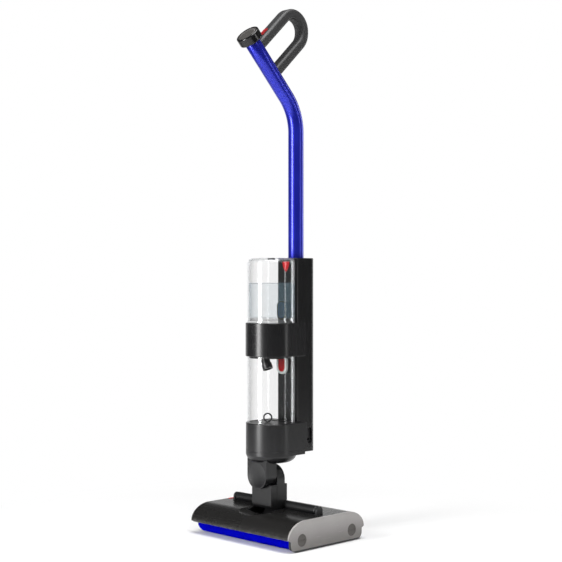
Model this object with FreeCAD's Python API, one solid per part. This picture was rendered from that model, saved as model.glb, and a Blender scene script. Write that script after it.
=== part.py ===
import FreeCAD, Part
import math
import os

# Wet dry floor scrubber: a two-roller head, a neck that tips and rolls, a spine with two
# lift-off tanks, and a bent tube with a loop handle. Millimetres. The origin is on the
# floor under the middle of the head, +Z is up, +X is to the right and -Y is the side where
# the user stands: the tanks and the display face that way.

# ---- driving dimensions: head --------------------------------------------------------
HEAD_LENGTH = 300.0          # along X, over the end caps
HEAD_DEPTH = 226.0           # along Y, lip to lip
HEAD_TOP = 62.5              # height of the flat top
LIP_HEIGHT = 27.5            # height of the front and rear lips
LIP_HOOK = 2.0               # drop of the lip's turned-in edge
SHOULDER_RUN = 50.0          # how far the rounded front and rear reach in
COVER_WALL = 2.5
CAP_SKIN = 4.0               # end cap thickness that shows
CAP_SPIGOT = 6.0             # depth of the end cap's inner boss
CAP_HOOK = 4.0               # drop from the lip to the end cap's straight side
RIGHT_CAP_SIDE = 106.5       # half width of the right end cap below the lips
RIGHT_CAP_CORNER = 15.0
RIGHT_CAP_GROUND = 1.6       # gap to the floor
LEFT_CAP_SIDE = 94.0         # smaller, so that the piles show past it
LEFT_CAP_CORNER = 17.0
LEFT_CAP_GROUND = 4.5
HUB_RADIUS = 12.8
HUB_LIFT = -0.5              # hub cap's centre above the roller's axis
HUB_POCKET = 2.5             # depth of the hub cap's pocket
HUB_SUNK = 0.6
HUB_SLOT_LENGTH = 16.0
HUB_SLOT_WIDTH = 2.6
HUB_SLOT_DEPTH = 0.8
CHASSIS_HALF_DEPTH = 50.0
CHASSIS_BOTTOM = 4.0
CHASSIS_THICKNESS = 3.0
CHASSIS_CORNER = 6.0
HEAD_SCREW_XS = (-120.0, 0.0, 120.0)
HEAD_SCREW_Y = 30.0
HEAD_SCREW_LENGTH = 12.0
SCREW_RADIUS = 2.0
SCREW_HEAD_RADIUS = 3.8
SCREW_HEAD_DEPTH = 1.8
SCREW_HOLE_GAP = 0.2
LATCH_LENGTH = 26.0
LATCH_Y = 8.0
LATCH_DEPTH = 8.0
LATCH_HEIGHT = 5.6
LATCH_PROUD = 0.6
LATCH_POCKET = 7.0           # depth of the latch's pocket
LATCH_EDGE = 1.2

# ---- rollers, brushes and tray -------------------------------------------------------
ROLLER_RADIUS = 24.0
ROLLER_CORE_RADIUS = 19.5
ROLLER_CORE_WALL = 2.3
ROLLER_PITCH = 150.0         # between the two roller axes
ROLLER_END_PLUG = 10.0
ROLLER_PIN_RADIUS = 4.0
PILE_INSET = 2.0             # pile's right end, inside the core's end
PILE_ROOM = 0.8              # left end cap's room round the pile
DRIVE_DISC_X = 8.0           # right face of the disc that the motor drives
DRIVE_DISC_WIDTH = 6.0
MOTOR_GAP = 0.4
MOTOR_SET_BACK = 3.0
MOTOR_SHAFT_RADIUS = 4.0
BRUSH_RADIUS = 6.0
BRUSH_CORE_RADIUS = 3.0
BRUSH_PIN_RADIUS = 2.0
BRUSH_PIN_LENGTH = 3.5
BRUSH_LIFT = 3.0             # brush axis above the roller axis
BRUSH_BLADES = 8
BRUSH_BLADE_WIDTH = 1.6
BAR_OFFSET = 20.0            # squeeze and spray bars, both ways from the roller's axis
SQUEEZE_RADIUS = 3.5
SPRAY_RADIUS = 2.5
SPRAY_WALL = 1.0
SPRAY_HOLE_RADIUS = 0.5
SPRAY_HOLES = 9
SPRAY_HOLE_PITCH = 30.0
TRAY_HALF_WIDTH = 21.0
TRAY_FLOOR = 8.0
TRAY_TOP = 35.0
TRAY_WALL = 1.5
TRAY_END_GAP = 4.0
TRAY_INNER_ROUND = 5.0
MESH_LIFT = 9.0              # straining grid above the tray's underside
MESH_THICKNESS = 1.2
MESH_PITCH = 10.0
MESH_SLOT = 5.0
MESH_MARGIN = 3.0

# ---- neck ----------------------------------------------------------------------------
PITCH_HEIGHT = 70.0          # the neck tips about this axis, along X
RECLINE = 45.0               # how far the neck tips towards the user, degrees
AXLE_RADIUS = 9.75
AXLE_HALF_LENGTH = 122.0
AXLE_END_ROUND = 3.0
NECK_HALF_WIDTH = 29.5
NECK_FRONT = -45.0
NECK_CORNER = 9.0            # lower front edge, which clears the well
NECK_BLOCK_BACK = 2.0
NECK_SHOULDER = 20.0         # top of the front block, below the roll axis
NECK_FOOT_EXTRA = 4.0        # the foot is this much wider each side
NECK_FOOT_FRONT = -8.0
NECK_FOOT_BACK = 8.5
NECK_FOOT_RISE = 9.0         # the foot's top above the pitch axis
NECK_FOOT_ROUND = 4.0
NECK_LIFT = 4.0              # the front block's underside, above the axle's underside
NECK_ROOM = 1.5
ROLL_HEIGHT = 136.0          # the body rolls about this axis, along Y
KNUCKLE_RADIUS = 29.0
KNUCKLE_FRONT = -59.0
KNUCKLE_BACK = -28.5
KNUCKLE_HOLLOW = 120.0       # radius of the ball that hollows the knuckle's face
KNUCKLE_HOLLOW_DEPTH = 3.0
KNUCKLE_SKIN = 7.0           # knuckle wall in front of the roll pin's bore
ARM_GAP = 0.5                # between the knuckle and the rear arm
ARM_BACK = -5.0
ARM_RADIUS = 30.0            # round top of the rear arm
ARM_CENTRE = 126.0
CRADLE_WALL = 2.0
CRADLE_END = 5.0
CRADLE_PROUD = 0.8
EAR_INSET = 0.5              # the ear is this much smaller than the axle
EAR_SKIN = 1.4               # what closes the ear's hole at its outer end
DISH_RADIUS = 85.0           # the hollow in the cover in front of the neck
DISH_Y = -66.0
DISH_DEPTH = 10.5
PITCH_PIN_RADIUS = 3.0
PITCH_PIN_DEPTH = 14.0
ROLL_PIN_RADIUS = 6.0
ROLL_PIN_FLANGE = 3.0
ROLL_PIN_FLANGE_DEPTH = 2.0

# ---- tanks and collars ---------------------------------------------------------------
TANK_AXIS_Y = -16.0          # centre of the tanks' round front
TANK_RADIUS = 51.5
TANK_BACK = 14.0             # the tanks' flat back
TANK_CORNER = 12.0
TANK_WALL = 2.2
TANK_SEAT = 4.0              # how far a tank sits down into its base
TANK_SEAT_GAP = 0.15
TANK_FLANGE = 0.6            # the clean tank's base stands out this much
TANK_LIP_HEIGHT = 6.0
COLLAR_STEP = 3.0            # the collars stand out past the tanks by this
COLLAR_BACK = 38.0
COLLAR_WALL = 2.6
COLLAR_EDGE = 1.5
SHELF_TOP = 187.0
SHELF_BOTTOM = 162.0
BOWL_ROUND = 20.0            # round underside of the neck cup
BOWL_BACK = 4.0              # the shelf's back, behind the spine's front
DIRTY_BASE_HEIGHT = 59.0
DIRTY_BASE_FLOOR = 3.0
DIRTY_PLUG_DROP = 1.0
DIRTY_TANK_HEIGHT = 142.0
LID_HEIGHT = 71.0
LID_PROUD = 0.8              # the lid's collar stands out past the base's
LID_BACK_INSET = 4.0
LID_HOLLOW_INSET = 10.0
LID_ROOF = 4.0
LID_EDGE = 1.2
LID_PLATE_THICKNESS = 3.0
CLEAN_TANK_HEIGHT = 138.0
CLEAN_DOME = 11.0            # radius of the clean tank's top edge
VENT_RADIUS = 7.5
VENT_FLANGE = 1.5
VENT_FLANGE_DEPTH = 1.6
BUNG_HALF_WIDTH = 9.5
BUNG_HALF_HEIGHT = 17.5
BUNG_DEPTH = 6.0
BUNG_Z = 485.5
BUNG_SEAT_RIM = 4.0
BUNG_SEAT_DEPTH = 3.0
LID_BUTTON_HALF_WIDTH = 10.0
LID_BUTTON_HALF_HEIGHT = 17.0
LID_BUTTON_DROP = 18.5       # button's centre below the lid
LID_BUTTON_TRAVEL = 0.8
LID_BUTTON_FRONT = 8.5       # button's face, off the tank's back
BUTTON_FRAME_RIM = 5.0
BUTTON_FRAME_DEPTH = 6.0
SPOUT_RADIUS = 9.5
SPOUT_WALL = 1.8
SPOUT_TILT = 24.0
SPOUT_LENGTH = 40.0
SPOUT_X = -20.0
SPOUT_Y = -22.0
SPOUT_ROOT = 8.0             # where the spout starts, above the lid's underside
SPOUT_COLLAR = 1.4
SPOUT_COLLAR_LENGTH = 12.0
DRAIN_RING_RADIUS = 8.5
DRAIN_RING_WIRE = 1.7
DRAIN_RING_X = -7.0
DRAIN_RING_Y = -20.0
DRAIN_STAND_RADIUS = 4.0
DRAIN_STAND_HEIGHT = 1.5

# ---- spine and what it holds ---------------------------------------------------------
SPINE_HALF_WIDTH = 29.0
SPINE_FRONT = 28.0
SPINE_BACK = 92.0
SPINE_SPLIT = 74.0
SPINE_SPLIT_GAP = 0.4
SPINE_WALL = 2.6
SPINE_FRONT_CORNER = 8.0
SPINE_BACK_CORNER = 14.0
SPINE_FOOT = 9.0             # the spine's foot below the shelf's top
SPINE_OVER_TANK = 1.0
SPINE_CAP_HEIGHT = 5.0
SPINE_CAP_PLUG = 2.0
SPINE_CAP_EDGE = 1.5
SPINE_SCREW_STEPS = (23.0, 133.0, 253.0, 373.0)   # above the shelf's top
SPINE_SCREW_LENGTH = 6.0
SPINE_SCREW_PROUD = 0.8
RECESS_Y = 72.0
RECESS_RISE = 25.0           # recess centre above the shelf's top
RECESS_HALF_WIDTH = 8.0
RECESS_HALF_HEIGHT = 19.0
RECESS_DEPTH = 6.0
RECESS_WALL = 1.2
RECESS_SUNK = 0.4
JACK_DROP = 9.0
JACK_BORE = 2.8
JACK_RADIUS = 4.5
JACK_LENGTH = 8.0
RELEASE_HALF_WIDTH = 9.5
RELEASE_HALF_HEIGHT = 20.0
RELEASE_X = 1.0
RELEASE_TIP = 30.0           # lower tip of the leaf, below the spine's top
RELEASE_HEIGHT = 22.0
RELEASE_PROUD = 2.0
RELEASE_DEPTH = 7.0
RELEASE_EDGE = 1.0
CELL_RADIUS = 10.5
CELL_LENGTH = 70.0
CELL_GAP = 1.0
CELL_LAYERS = 2
BATTERY_RISE = 185.0         # lowest cell above the shelf's top
CASE_WALL = 1.6
PUMP_RADIUS = 13.0
PUMP_MOTOR_HEIGHT = 34.0
PUMP_HEAD_RADIUS = 16.0
PUMP_HEAD_HEIGHT = 14.0
PUMP_SPOUT_RADIUS = 2.8
CLEAN_PUMP_RISE = 11.0
DIRTY_PUMP_RISE = 75.0
HOSE_RADIUS = 4.0
HOSE_WALL = 1.0
HOSE_X = -19.0
HOSE_OFFSET = 16.0           # hoses, both ways from the tube's axis
HOSE_SHORT = 12.0            # hoses and board end this far below the battery
BOARD_OFFSET = 22.0
BOARD_THICKNESS = 1.6
BOARD_HALF_WIDTH = 22.0
BOARD_RISE = 50.0
CHIP_HALF_WIDTH = 8.0
CHIP_DEPTH = 3.0
CHIP_HEIGHT = 12.0
CHIP_PITCH = 22.0
CHIP_COUNT = 4
STANDOFF_RADIUS = 2.5
STANDOFF_X = 12.0
STANDOFF_INSET = 6.0

# ---- tube, display and handle --------------------------------------------------------
TUBE_RADIUS = 17.0
TUBE_WALL = 1.6
TUBE_SOCKET_DEPTH = 52.0
TUBE_Y = 59.0
BEND_HEIGHT = 916.0          # where the two straight runs of the tube would meet
BEND_ANGLE = 43.7
BEND_RADIUS = 110.0
TUBE_END = 197.0             # end of the tube, along it from where the runs would meet
CLAMP_FRONT = 22.0
CLAMP_BACK = 17.0
CLAMP_FLOOR = 3.0
CLAMP_GRIP = 40.0
CLAMP_WIRE_HOLE = 6.0
CLAMP_BELOW_RELEASE = 1.0
WIRE_RADIUS = 2.5
WIRE_START = 2.0
BEZEL_RADIUS = 26.0
BEZEL_DEPTH = 19.0
BEZEL_OVERLAP = 4.0          # the bezel sits this far down the tube
BEZEL_EDGE = 2.5
LENS_RADIUS = 22.5
LENS_THICKNESS = 2.0
LENS_SUNK = 3.0
LENS_GAP = 0.1
BOARD_LIFT = 6.0             # display board above the bezel's back
DISPLAY_BOARD_INSET = 4.0
DISPLAY_POCKET_INSET = 3.0
LOOP_WIDTH = 28.0
LOOP_THICKNESS = 22.0
LOOP_CORNER = 7.0
LOOP_TOP_ARM = 174.0         # where the upper arm leaves the tube, measured as TUBE_END is
LOOP_ROOT = 8.0              # where the upper arm starts, off the tube's axis
LOOP_REACH = 112.0           # end of the upper arm's straight, off the tube's axis
LOOP_TOP_BEND = 33.5
LOOP_LIMB = 2.0
LOOP_LOW_BEND = 38.0
POWER_LENGTH = 26.0
POWER_WIDTH = 12.0
POWER_CORNER = 4.0
POWER_START = 28.5           # from the tube's axis, along the upper arm
POWER_PROUD = 1.6
POWER_DEPTH = 4.0
POWER_WELL = 8.0
POWER_GAP = 0.4

RUN_GAP = 0.05               # radial gap of a pin that turns in a bore
SLIP_GAP = 0.3               # gap between pieces that move past each other
THROUGH = 1.0                # how far a cutter runs past the face it opens

# ---- worked out from them ------------------------------------------------------------
HALF_LENGTH = HEAD_LENGTH / 2
HALF_DEPTH = HEAD_DEPTH / 2
COVER_END = HALF_LENGTH - CAP_SKIN
SPIGOT_FACE = COVER_END - CAP_SPIGOT
ROLLER_Y = ROLLER_PITCH / 2
ROLLER_END = SPIGOT_FACE - 1.0
PILE_LEFT_END = COVER_END - 0.5
BRUSH_Y = ROLLER_Y - ROLLER_RADIUS - BRUSH_RADIUS - 1.0
BRUSH_Z = ROLLER_RADIUS + BRUSH_LIFT
BAR_Z = ROLLER_RADIUS + BAR_OFFSET
NECK_BOTTOM = PITCH_HEIGHT - AXLE_RADIUS + NECK_LIFT
ARM_FRONT = KNUCKLE_BACK + ARM_GAP
TROUGH_RADIUS = AXLE_RADIUS + 1.5
TROUGH_HALF = AXLE_HALF_LENGTH + 0.6
CRADLE_HALF = TROUGH_HALF + CRADLE_END
WELL_HALF = NECK_HALF_WIDTH + 3.0
COLLAR_RADIUS = TANK_RADIUS + COLLAR_STEP
DIRTY_BASE_Z = SHELF_TOP + SLIP_GAP
DIRTY_TANK_Z = SHELF_TOP + DIRTY_BASE_HEIGHT
LID_Z = DIRTY_TANK_Z + DIRTY_TANK_HEIGHT
LID_BUTTON_Z = LID_Z - LID_BUTTON_DROP
CLEAN_TANK_Z = LID_Z + LID_HEIGHT + SLIP_GAP
CLEAN_TANK_TOP = CLEAN_TANK_Z + CLEAN_TANK_HEIGHT
SPINE_TOP = CLEAN_TANK_TOP + SPINE_OVER_TANK
SPINE_CAP_Z = SPINE_TOP - SPINE_CAP_HEIGHT
RELEASE_BOTTOM = SPINE_TOP - RELEASE_TIP
RECESS_Z = SHELF_TOP + RECESS_RISE
BATTERY_Z = SHELF_TOP + BATTERY_RISE
TUBE_FOOT = SPINE_TOP - TUBE_SOCKET_DEPTH
BEZEL_BACK = TUBE_END - BEZEL_OVERLAP
FAR = 400.0                  # beyond everything, for cutters that open one side


# ---- small helpers -------------------------------------------------------------------
def vec(x, y, z):
    return FreeCAD.Vector(x, y, z)


def block(x0, x1, y0, y1, z0, z1):
    return Part.makeBox(x1 - x0, y1 - y0, z1 - z0, vec(x0, y0, z0))


def rod_x(radius, x0, x1, y, z):
    return Part.makeCylinder(radius, x1 - x0, vec(x0, y, z), vec(1, 0, 0))


def rod_y(radius, y0, y1, x, z):
    return Part.makeCylinder(radius, y1 - y0, vec(x, y0, z), vec(0, 1, 0))


def rod_z(radius, z0, z1, x, y):
    return Part.makeCylinder(radius, z1 - z0, vec(x, y, z0), vec(0, 0, 1))


def ring_x(outer, inner, x0, x1, y, z):
    return rod_x(outer, x0, x1, y, z).cut(rod_x(inner, x0 - THROUGH, x1 + THROUGH, y, z))


def same(a, b):
    return abs(a - b) < 0.01


def edges_where(shape, test):
    return [edge for edge in shape.Edges if test(edge.CenterOfMass)]


def round_upright_edges(shape, radius, keep):
    """Round the vertical edges whose middle passes the test keep(point)."""
    edges = []
    for edge in shape.Edges:
        a, b = edge.Vertexes[0].Point, edge.Vertexes[-1].Point
        if same(a.x, b.x) and same(a.y, b.y) and keep((a + b) * 0.5):
            edges.append(edge)
    return shape.makeFillet(radius, edges)


def save(name, shape):
    solids = shape.Solids
    result = solids[0] if len(solids) == 1 else Part.makeCompound(solids)
    result.exportStep("parts/" + name + ".step")
    print(name, len(solids), round(result.Volume / 1000.0, 2), result.isValid())


def bar_along(face, y, z, heading, moves):
    """Carry a face, drawn about the origin and facing +Z, through straight runs and turns in
    the YZ plane. Heading is degrees from +Z towards -Y. A run is (length,), a turn is
    (radius, degrees), positive towards -Y from +Z."""
    solids = []
    for move in moves:
        placed = face.copy()
        placed.rotate(vec(0, 0, 0), vec(1, 0, 0), heading)
        placed.translate(vec(0, y, z))
        along_y, along_z = -math.sin(math.radians(heading)), math.cos(math.radians(heading))
        if len(move) == 1:
            solids.append(placed.extrude(vec(0, along_y * move[0], along_z * move[0])))
            y, z = y + along_y * move[0], z + along_z * move[0]
            continue
        radius, turn = move
        side = math.copysign(radius, turn)
        centre_y, centre_z = y - side * along_z, z + side * along_y
        solids.append(placed.revolve(vec(0, centre_y, centre_z), vec(1, 0, 0), turn))
        cos_t, sin_t = math.cos(math.radians(turn)), math.sin(math.radians(turn))
        dy, dz = y - centre_y, z - centre_z
        y, z = centre_y + dy * cos_t - dz * sin_t, centre_z + dy * sin_t + dz * cos_t
        heading += turn
    return solids[0].multiFuse(solids[1:]).removeSplitter() if len(solids) > 1 else solids[0]


def disc_face(radius, hole=0.0):
    outer = Part.Face(Part.Wire(Part.makeCircle(radius)))
    if hole <= 0:
        return outer
    return outer.cut(Part.Face(Part.Wire(Part.makeCircle(hole))))


# ---- head ----------------------------------------------------------------------------
def head_profile(inset, foot, x0, x1):
    """Rounded head section grown from x0 to x1. Foot is where its sides end."""
    lip_y = HALF_DEPTH - inset
    top = HEAD_TOP - inset
    run, rise = SHOULDER_RUN - inset, HEAD_TOP - LIP_HEIGHT - inset
    quarter_round = 0.5523
    points = [vec(x0, -lip_y, LIP_HEIGHT), vec(x0, -lip_y, LIP_HEIGHT + quarter_round * rise),
              vec(x0, -lip_y + run - quarter_round * run, top), vec(x0, -lip_y + run, top)]
    front, back = Part.BezierCurve(), Part.BezierCurve()
    front.setPoles(points)
    back.setPoles([vec(p.x, -p.y, p.z) for p in reversed(points)])
    corners = [vec(x0, lip_y, LIP_HEIGHT), vec(x0, foot[0], foot[1]),
               vec(x0, -foot[0], foot[1]), vec(x0, -lip_y, LIP_HEIGHT)]
    edges = [front.toShape(), Part.makeLine(points[-1], vec(x0, -points[-1].y, top)), back.toShape()]
    edges += [Part.makeLine(a, b) for a, b in zip(corners, corners[1:])]
    return Part.Face(Part.Wire(edges)).extrude(vec(x1 - x0, 0, 0))


def well_outline(clearance, half_width):
    """The notch that the neck's front block needs below the cover when it is tipped."""
    front = -NECK_FRONT + NECK_ROOM + clearance
    below = PITCH_HEIGHT - NECK_BOTTOM + NECK_ROOM + clearance
    notch = block(-half_width, half_width, -front, 0, -below, HEAD_TOP)
    notch.rotate(vec(0, 0, 0), vec(1, 0, 0), RECLINE)
    notch.translate(vec(0, 0, PITCH_HEIGHT))
    return notch


def trough(radius, half_length):
    """Round-bottomed groove along the pitch axis, open upwards."""
    groove = rod_x(radius, -half_length, half_length, 0, PITCH_HEIGHT)
    return groove.fuse(block(-half_length, half_length, -radius, radius, PITCH_HEIGHT, FAR))


def dish(grow):
    """The ball that hollows the cover in front of the neck, where the knuckle comes down."""
    return Part.makeSphere(DISH_RADIUS + grow, vec(0, DISH_Y, HEAD_TOP - DISH_DEPTH + DISH_RADIUS))


def latch_pocket():
    """Room for the red tab, in the left end cap and in the cover's left edge."""
    reach = LATCH_LENGTH / 2 + SLIP_GAP
    return block(-HALF_LENGTH - THROUGH, -HALF_LENGTH + LATCH_DEPTH + SLIP_GAP, LATCH_Y - reach,
                 LATCH_Y + reach, HEAD_TOP - LATCH_POCKET, HEAD_TOP + THROUGH)


def make_head_cover():
    foot_z = LIP_HEIGHT - LIP_HOOK
    outer = head_profile(0, (HALF_DEPTH - COVER_WALL, foot_z), -COVER_END, COVER_END)
    inner = head_profile(COVER_WALL, (HALF_DEPTH - COVER_WALL - 0.4, foot_z - LIP_HOOK),
                         -COVER_END - THROUGH, COVER_END + THROUGH)
    shell = outer.cut(dish(0)).cut(inner.cut(dish(COVER_WALL)))
    opening = trough(TROUGH_RADIUS + CRADLE_WALL, CRADLE_HALF)
    shell = shell.cut(opening).cut(well_outline(CRADLE_WALL, WELL_HALF + CRADLE_WALL))
    save("head_cover", shell.cut(latch_pocket()))


def make_axle_cradle():
    outer = trough(TROUGH_RADIUS + CRADLE_WALL, CRADLE_HALF).fuse(
        well_outline(CRADLE_WALL, WELL_HALF + CRADLE_WALL))
    rim = HEAD_TOP + CRADLE_PROUD
    body = outer.common(block(-CRADLE_HALF, CRADLE_HALF, -HALF_DEPTH, HALF_DEPTH, 0, rim)).cut(dish(0))
    body = body.cut(trough(TROUGH_RADIUS, TROUGH_HALF)).cut(well_outline(0, WELL_HALF))
    radius = AXLE_RADIUS - EAR_INSET
    for side in (-1, 1):
        x0, x1 = sorted((side * TROUGH_HALF, side * CRADLE_HALF))
        ear = rod_x(radius, x0, x1, 0, PITCH_HEIGHT)
        ear = ear.fuse(block(x0, x1, -radius, radius, rim - THROUGH, PITCH_HEIGHT))
        hole_ends = sorted((side * (TROUGH_HALF - THROUGH), side * (CRADLE_HALF - EAR_SKIN)))
        body = body.fuse(ear).cut(rod_x(PITCH_PIN_RADIUS, hole_ends[0], hole_ends[1], 0, PITCH_HEIGHT))
    save("axle_cradle", body.removeSplitter())


def make_pitch_pins():
    pins = []
    for side in (-1, 1):
        x0, x1 = sorted((side * (AXLE_HALF_LENGTH - PITCH_PIN_DEPTH), side * (CRADLE_HALF - EAR_SKIN)))
        pins.append(rod_x(PITCH_PIN_RADIUS, x0, x1, 0, PITCH_HEIGHT))
    save("pitch_pins", Part.makeCompound(pins))


def head_screw(x, y, gap):
    """Countersunk screw, flush with the base plate's underside; gap widens its shank."""
    head = Part.makeCone(SCREW_HEAD_RADIUS, SCREW_RADIUS, SCREW_HEAD_DEPTH, vec(x, y, CHASSIS_BOTTOM))
    return head.fuse(rod_z(SCREW_RADIUS + gap, CHASSIS_BOTTOM + SCREW_HEAD_DEPTH / 2,
                           CHASSIS_BOTTOM + HEAD_SCREW_LENGTH, x, y))


def head_screw_places():
    return [(x, y) for x in HEAD_SCREW_XS for y in (-HEAD_SCREW_Y, HEAD_SCREW_Y)]


def make_head_chassis():
    end = SPIGOT_FACE - 0.5
    plate = block(-end, end, -CHASSIS_HALF_DEPTH, CHASSIS_HALF_DEPTH,
                  CHASSIS_BOTTOM, CHASSIS_BOTTOM + CHASSIS_THICKNESS)
    plate = round_upright_edges(plate, CHASSIS_CORNER, lambda p: True)
    for x, y in head_screw_places():
        plate = plate.cut(head_screw(x, y, SCREW_HOLE_GAP))
    save("head_chassis", plate)
    save("head_screws", Part.makeCompound([head_screw(x, y, 0) for x, y in head_screw_places()]))


def cap_section(inset, side, corner, ground, x0, x1):
    """The cover's outline down to the lips, then straight sides and round lower corners."""
    straight = side - inset
    upper = head_profile(inset, (straight, LIP_HEIGHT - CAP_HOOK), x0, x1)
    lower = block(x0, x1, -straight, straight, ground, LIP_HEIGHT)
    rounded = lower.makeFillet(corner, edges_where(lower, lambda c: same(c.z, ground)
                                                   and same(abs(c.y), straight)))
    return upper.fuse(rounded).removeSplitter()


def end_cap_blank(side, corner, ground):
    """Right-handed end cap: the skin, and a spigot that plugs the cover."""
    skin = cap_section(0, side, corner, ground, COVER_END, HALF_LENGTH)
    spigot_inset = COVER_WALL + SLIP_GAP
    spigot = cap_section(spigot_inset, side, corner - spigot_inset, ground + 1.0, SPIGOT_FACE, COVER_END)
    cap = skin.fuse(spigot)
    for y in (-ROLLER_Y, ROLLER_Y):
        cap = cap.cut(rod_x(HUB_RADIUS + 0.1, HALF_LENGTH - HUB_POCKET, HALF_LENGTH + THROUGH, y,
                            ROLLER_RADIUS + HUB_LIFT))
    for y in (-BRUSH_Y, BRUSH_Y):
        cap = cap.cut(rod_x(BRUSH_PIN_RADIUS + RUN_GAP, SPIGOT_FACE - THROUGH, COVER_END - 1.0, y, BRUSH_Z))
    return cap


def hub_caps():
    caps = []
    z = ROLLER_RADIUS + HUB_LIFT
    face = HALF_LENGTH - HUB_SUNK
    half_length, half_width = HUB_SLOT_LENGTH / 2, HUB_SLOT_WIDTH / 2
    for y in (-ROLLER_Y, ROLLER_Y):
        disc = rod_x(HUB_RADIUS, HALF_LENGTH - HUB_POCKET, face, y, z)
        slot = block(face - HUB_SLOT_DEPTH, face + THROUGH, y - half_length, y + half_length,
                     z - half_width, z + half_width)
        caps.append(disc.cut(slot))
    return caps


def make_right_end():
    save("right_end_cap", end_cap_blank(RIGHT_CAP_SIDE, RIGHT_CAP_CORNER, RIGHT_CAP_GROUND))
    save("right_hub_caps", Part.makeCompound(hub_caps()))


def make_left_end():
    mirror = (vec(0, 0, 0), vec(1, 0, 0))
    cap = end_cap_blank(LEFT_CAP_SIDE, LEFT_CAP_CORNER, LEFT_CAP_GROUND).mirror(*mirror)
    for y in (-ROLLER_Y, ROLLER_Y):
        cap = cap.cut(rod_x(ROLLER_RADIUS + PILE_ROOM, -COVER_END, -SPIGOT_FACE + THROUGH, y, ROLLER_RADIUS))
        cap = cap.fuse(rod_x(ROLLER_PIN_RADIUS, -COVER_END, -ROLLER_END + ROLLER_END_PLUG, y, ROLLER_RADIUS))
    save("left_end_cap", cap.cut(latch_pocket()))
    save("left_hub_caps", Part.makeCompound([c.mirror(*mirror) for c in hub_caps()]))
    half, top = LATCH_LENGTH / 2, HEAD_TOP + LATCH_PROUD
    tab = block(-HALF_LENGTH, -HALF_LENGTH + LATCH_DEPTH, LATCH_Y - half, LATCH_Y + half,
                top - LATCH_HEIGHT, top)
    save("tray_latch", tab.makeFillet(LATCH_EDGE, edges_where(tab, lambda c: same(c.z, top))))


# ---- rollers, brushes and their bars -------------------------------------------------
def make_roller(side, name):
    """Hollow core with a plug at the left, a drive disc inside, and a pile sleeve."""
    y, z = side * ROLLER_Y, ROLLER_RADIUS
    bore = ROLLER_CORE_RADIUS - ROLLER_CORE_WALL
    plug_end = -ROLLER_END + ROLLER_END_PLUG
    disc_left = DRIVE_DISC_X - DRIVE_DISC_WIDTH
    core = rod_x(ROLLER_CORE_RADIUS, -ROLLER_END, ROLLER_END, y, z)
    core = core.cut(rod_x(bore, DRIVE_DISC_X, ROLLER_END + THROUGH, y, z))
    core = core.cut(rod_x(bore, plug_end, disc_left, y, z))
    core = core.cut(rod_x(ROLLER_PIN_RADIUS + RUN_GAP, -ROLLER_END - THROUGH, plug_end + THROUGH, y, z))
    core = core.cut(rod_x(MOTOR_SHAFT_RADIUS + RUN_GAP, disc_left - THROUGH, DRIVE_DISC_X + THROUGH, y, z))
    save(name + "_roller_core", core)
    pile = ring_x(ROLLER_RADIUS, ROLLER_CORE_RADIUS, -PILE_LEFT_END, ROLLER_END - PILE_INSET, y, z)
    save(name + "_roller_pile", pile)
    motor = rod_x(bore - MOTOR_GAP, DRIVE_DISC_X + MOTOR_SET_BACK, SPIGOT_FACE, y, z)
    shaft = rod_x(MOTOR_SHAFT_RADIUS, disc_left + 1.0, DRIVE_DISC_X + MOTOR_SET_BACK + THROUGH, y, z)
    save(name + "_roller_motor", motor.fuse(shaft))


def make_brush(side, name):
    y, z = side * BRUSH_Y, BRUSH_Z
    end = SPIGOT_FACE - 1.0
    pin_end = end + BRUSH_PIN_LENGTH
    spindle = rod_x(BRUSH_CORE_RADIUS, -end, end, y, z)
    spindle = spindle.fuse(rod_x(BRUSH_PIN_RADIUS, -pin_end, pin_end, y, z))
    half = BRUSH_BLADE_WIDTH / 2
    tufts = []
    for k in range(BRUSH_BLADES):
        blade = block(-end + 3, end - 3, y - half, y + half, z, z + BRUSH_RADIUS)
        blade.rotate(vec(0, y, z), vec(1, 0, 0), k * 360.0 / BRUSH_BLADES)
        tufts.append(blade)
    limit = rod_x(BRUSH_RADIUS, -end, end, y, z)
    save(name + "_pickup_brush", spindle.multiFuse(tufts).common(limit.fuse(spindle)))


def make_wet_bars(side, name):
    """The hard bar that squeezes dirty water from the pile, and the bar that wets it."""
    left = -SPIGOT_FACE + SLIP_GAP
    squeeze = rod_x(SQUEEZE_RADIUS, left, SPIGOT_FACE, side * (ROLLER_Y - BAR_OFFSET), BAR_Z)
    save(name + "_squeeze_bar", squeeze)
    y = side * (ROLLER_Y + BAR_OFFSET)
    spray = ring_x(SPRAY_RADIUS, SPRAY_RADIUS - SPRAY_WALL, left, SPIGOT_FACE, y, BAR_Z)
    for k in range(SPRAY_HOLES):
        x = (k - (SPRAY_HOLES - 1) / 2) * SPRAY_HOLE_PITCH
        spray = spray.cut(rod_z(SPRAY_HOLE_RADIUS, BAR_Z - 2 * SPRAY_RADIUS, BAR_Z, x, y))
    save(name + "_spray_bar", spray)


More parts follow.
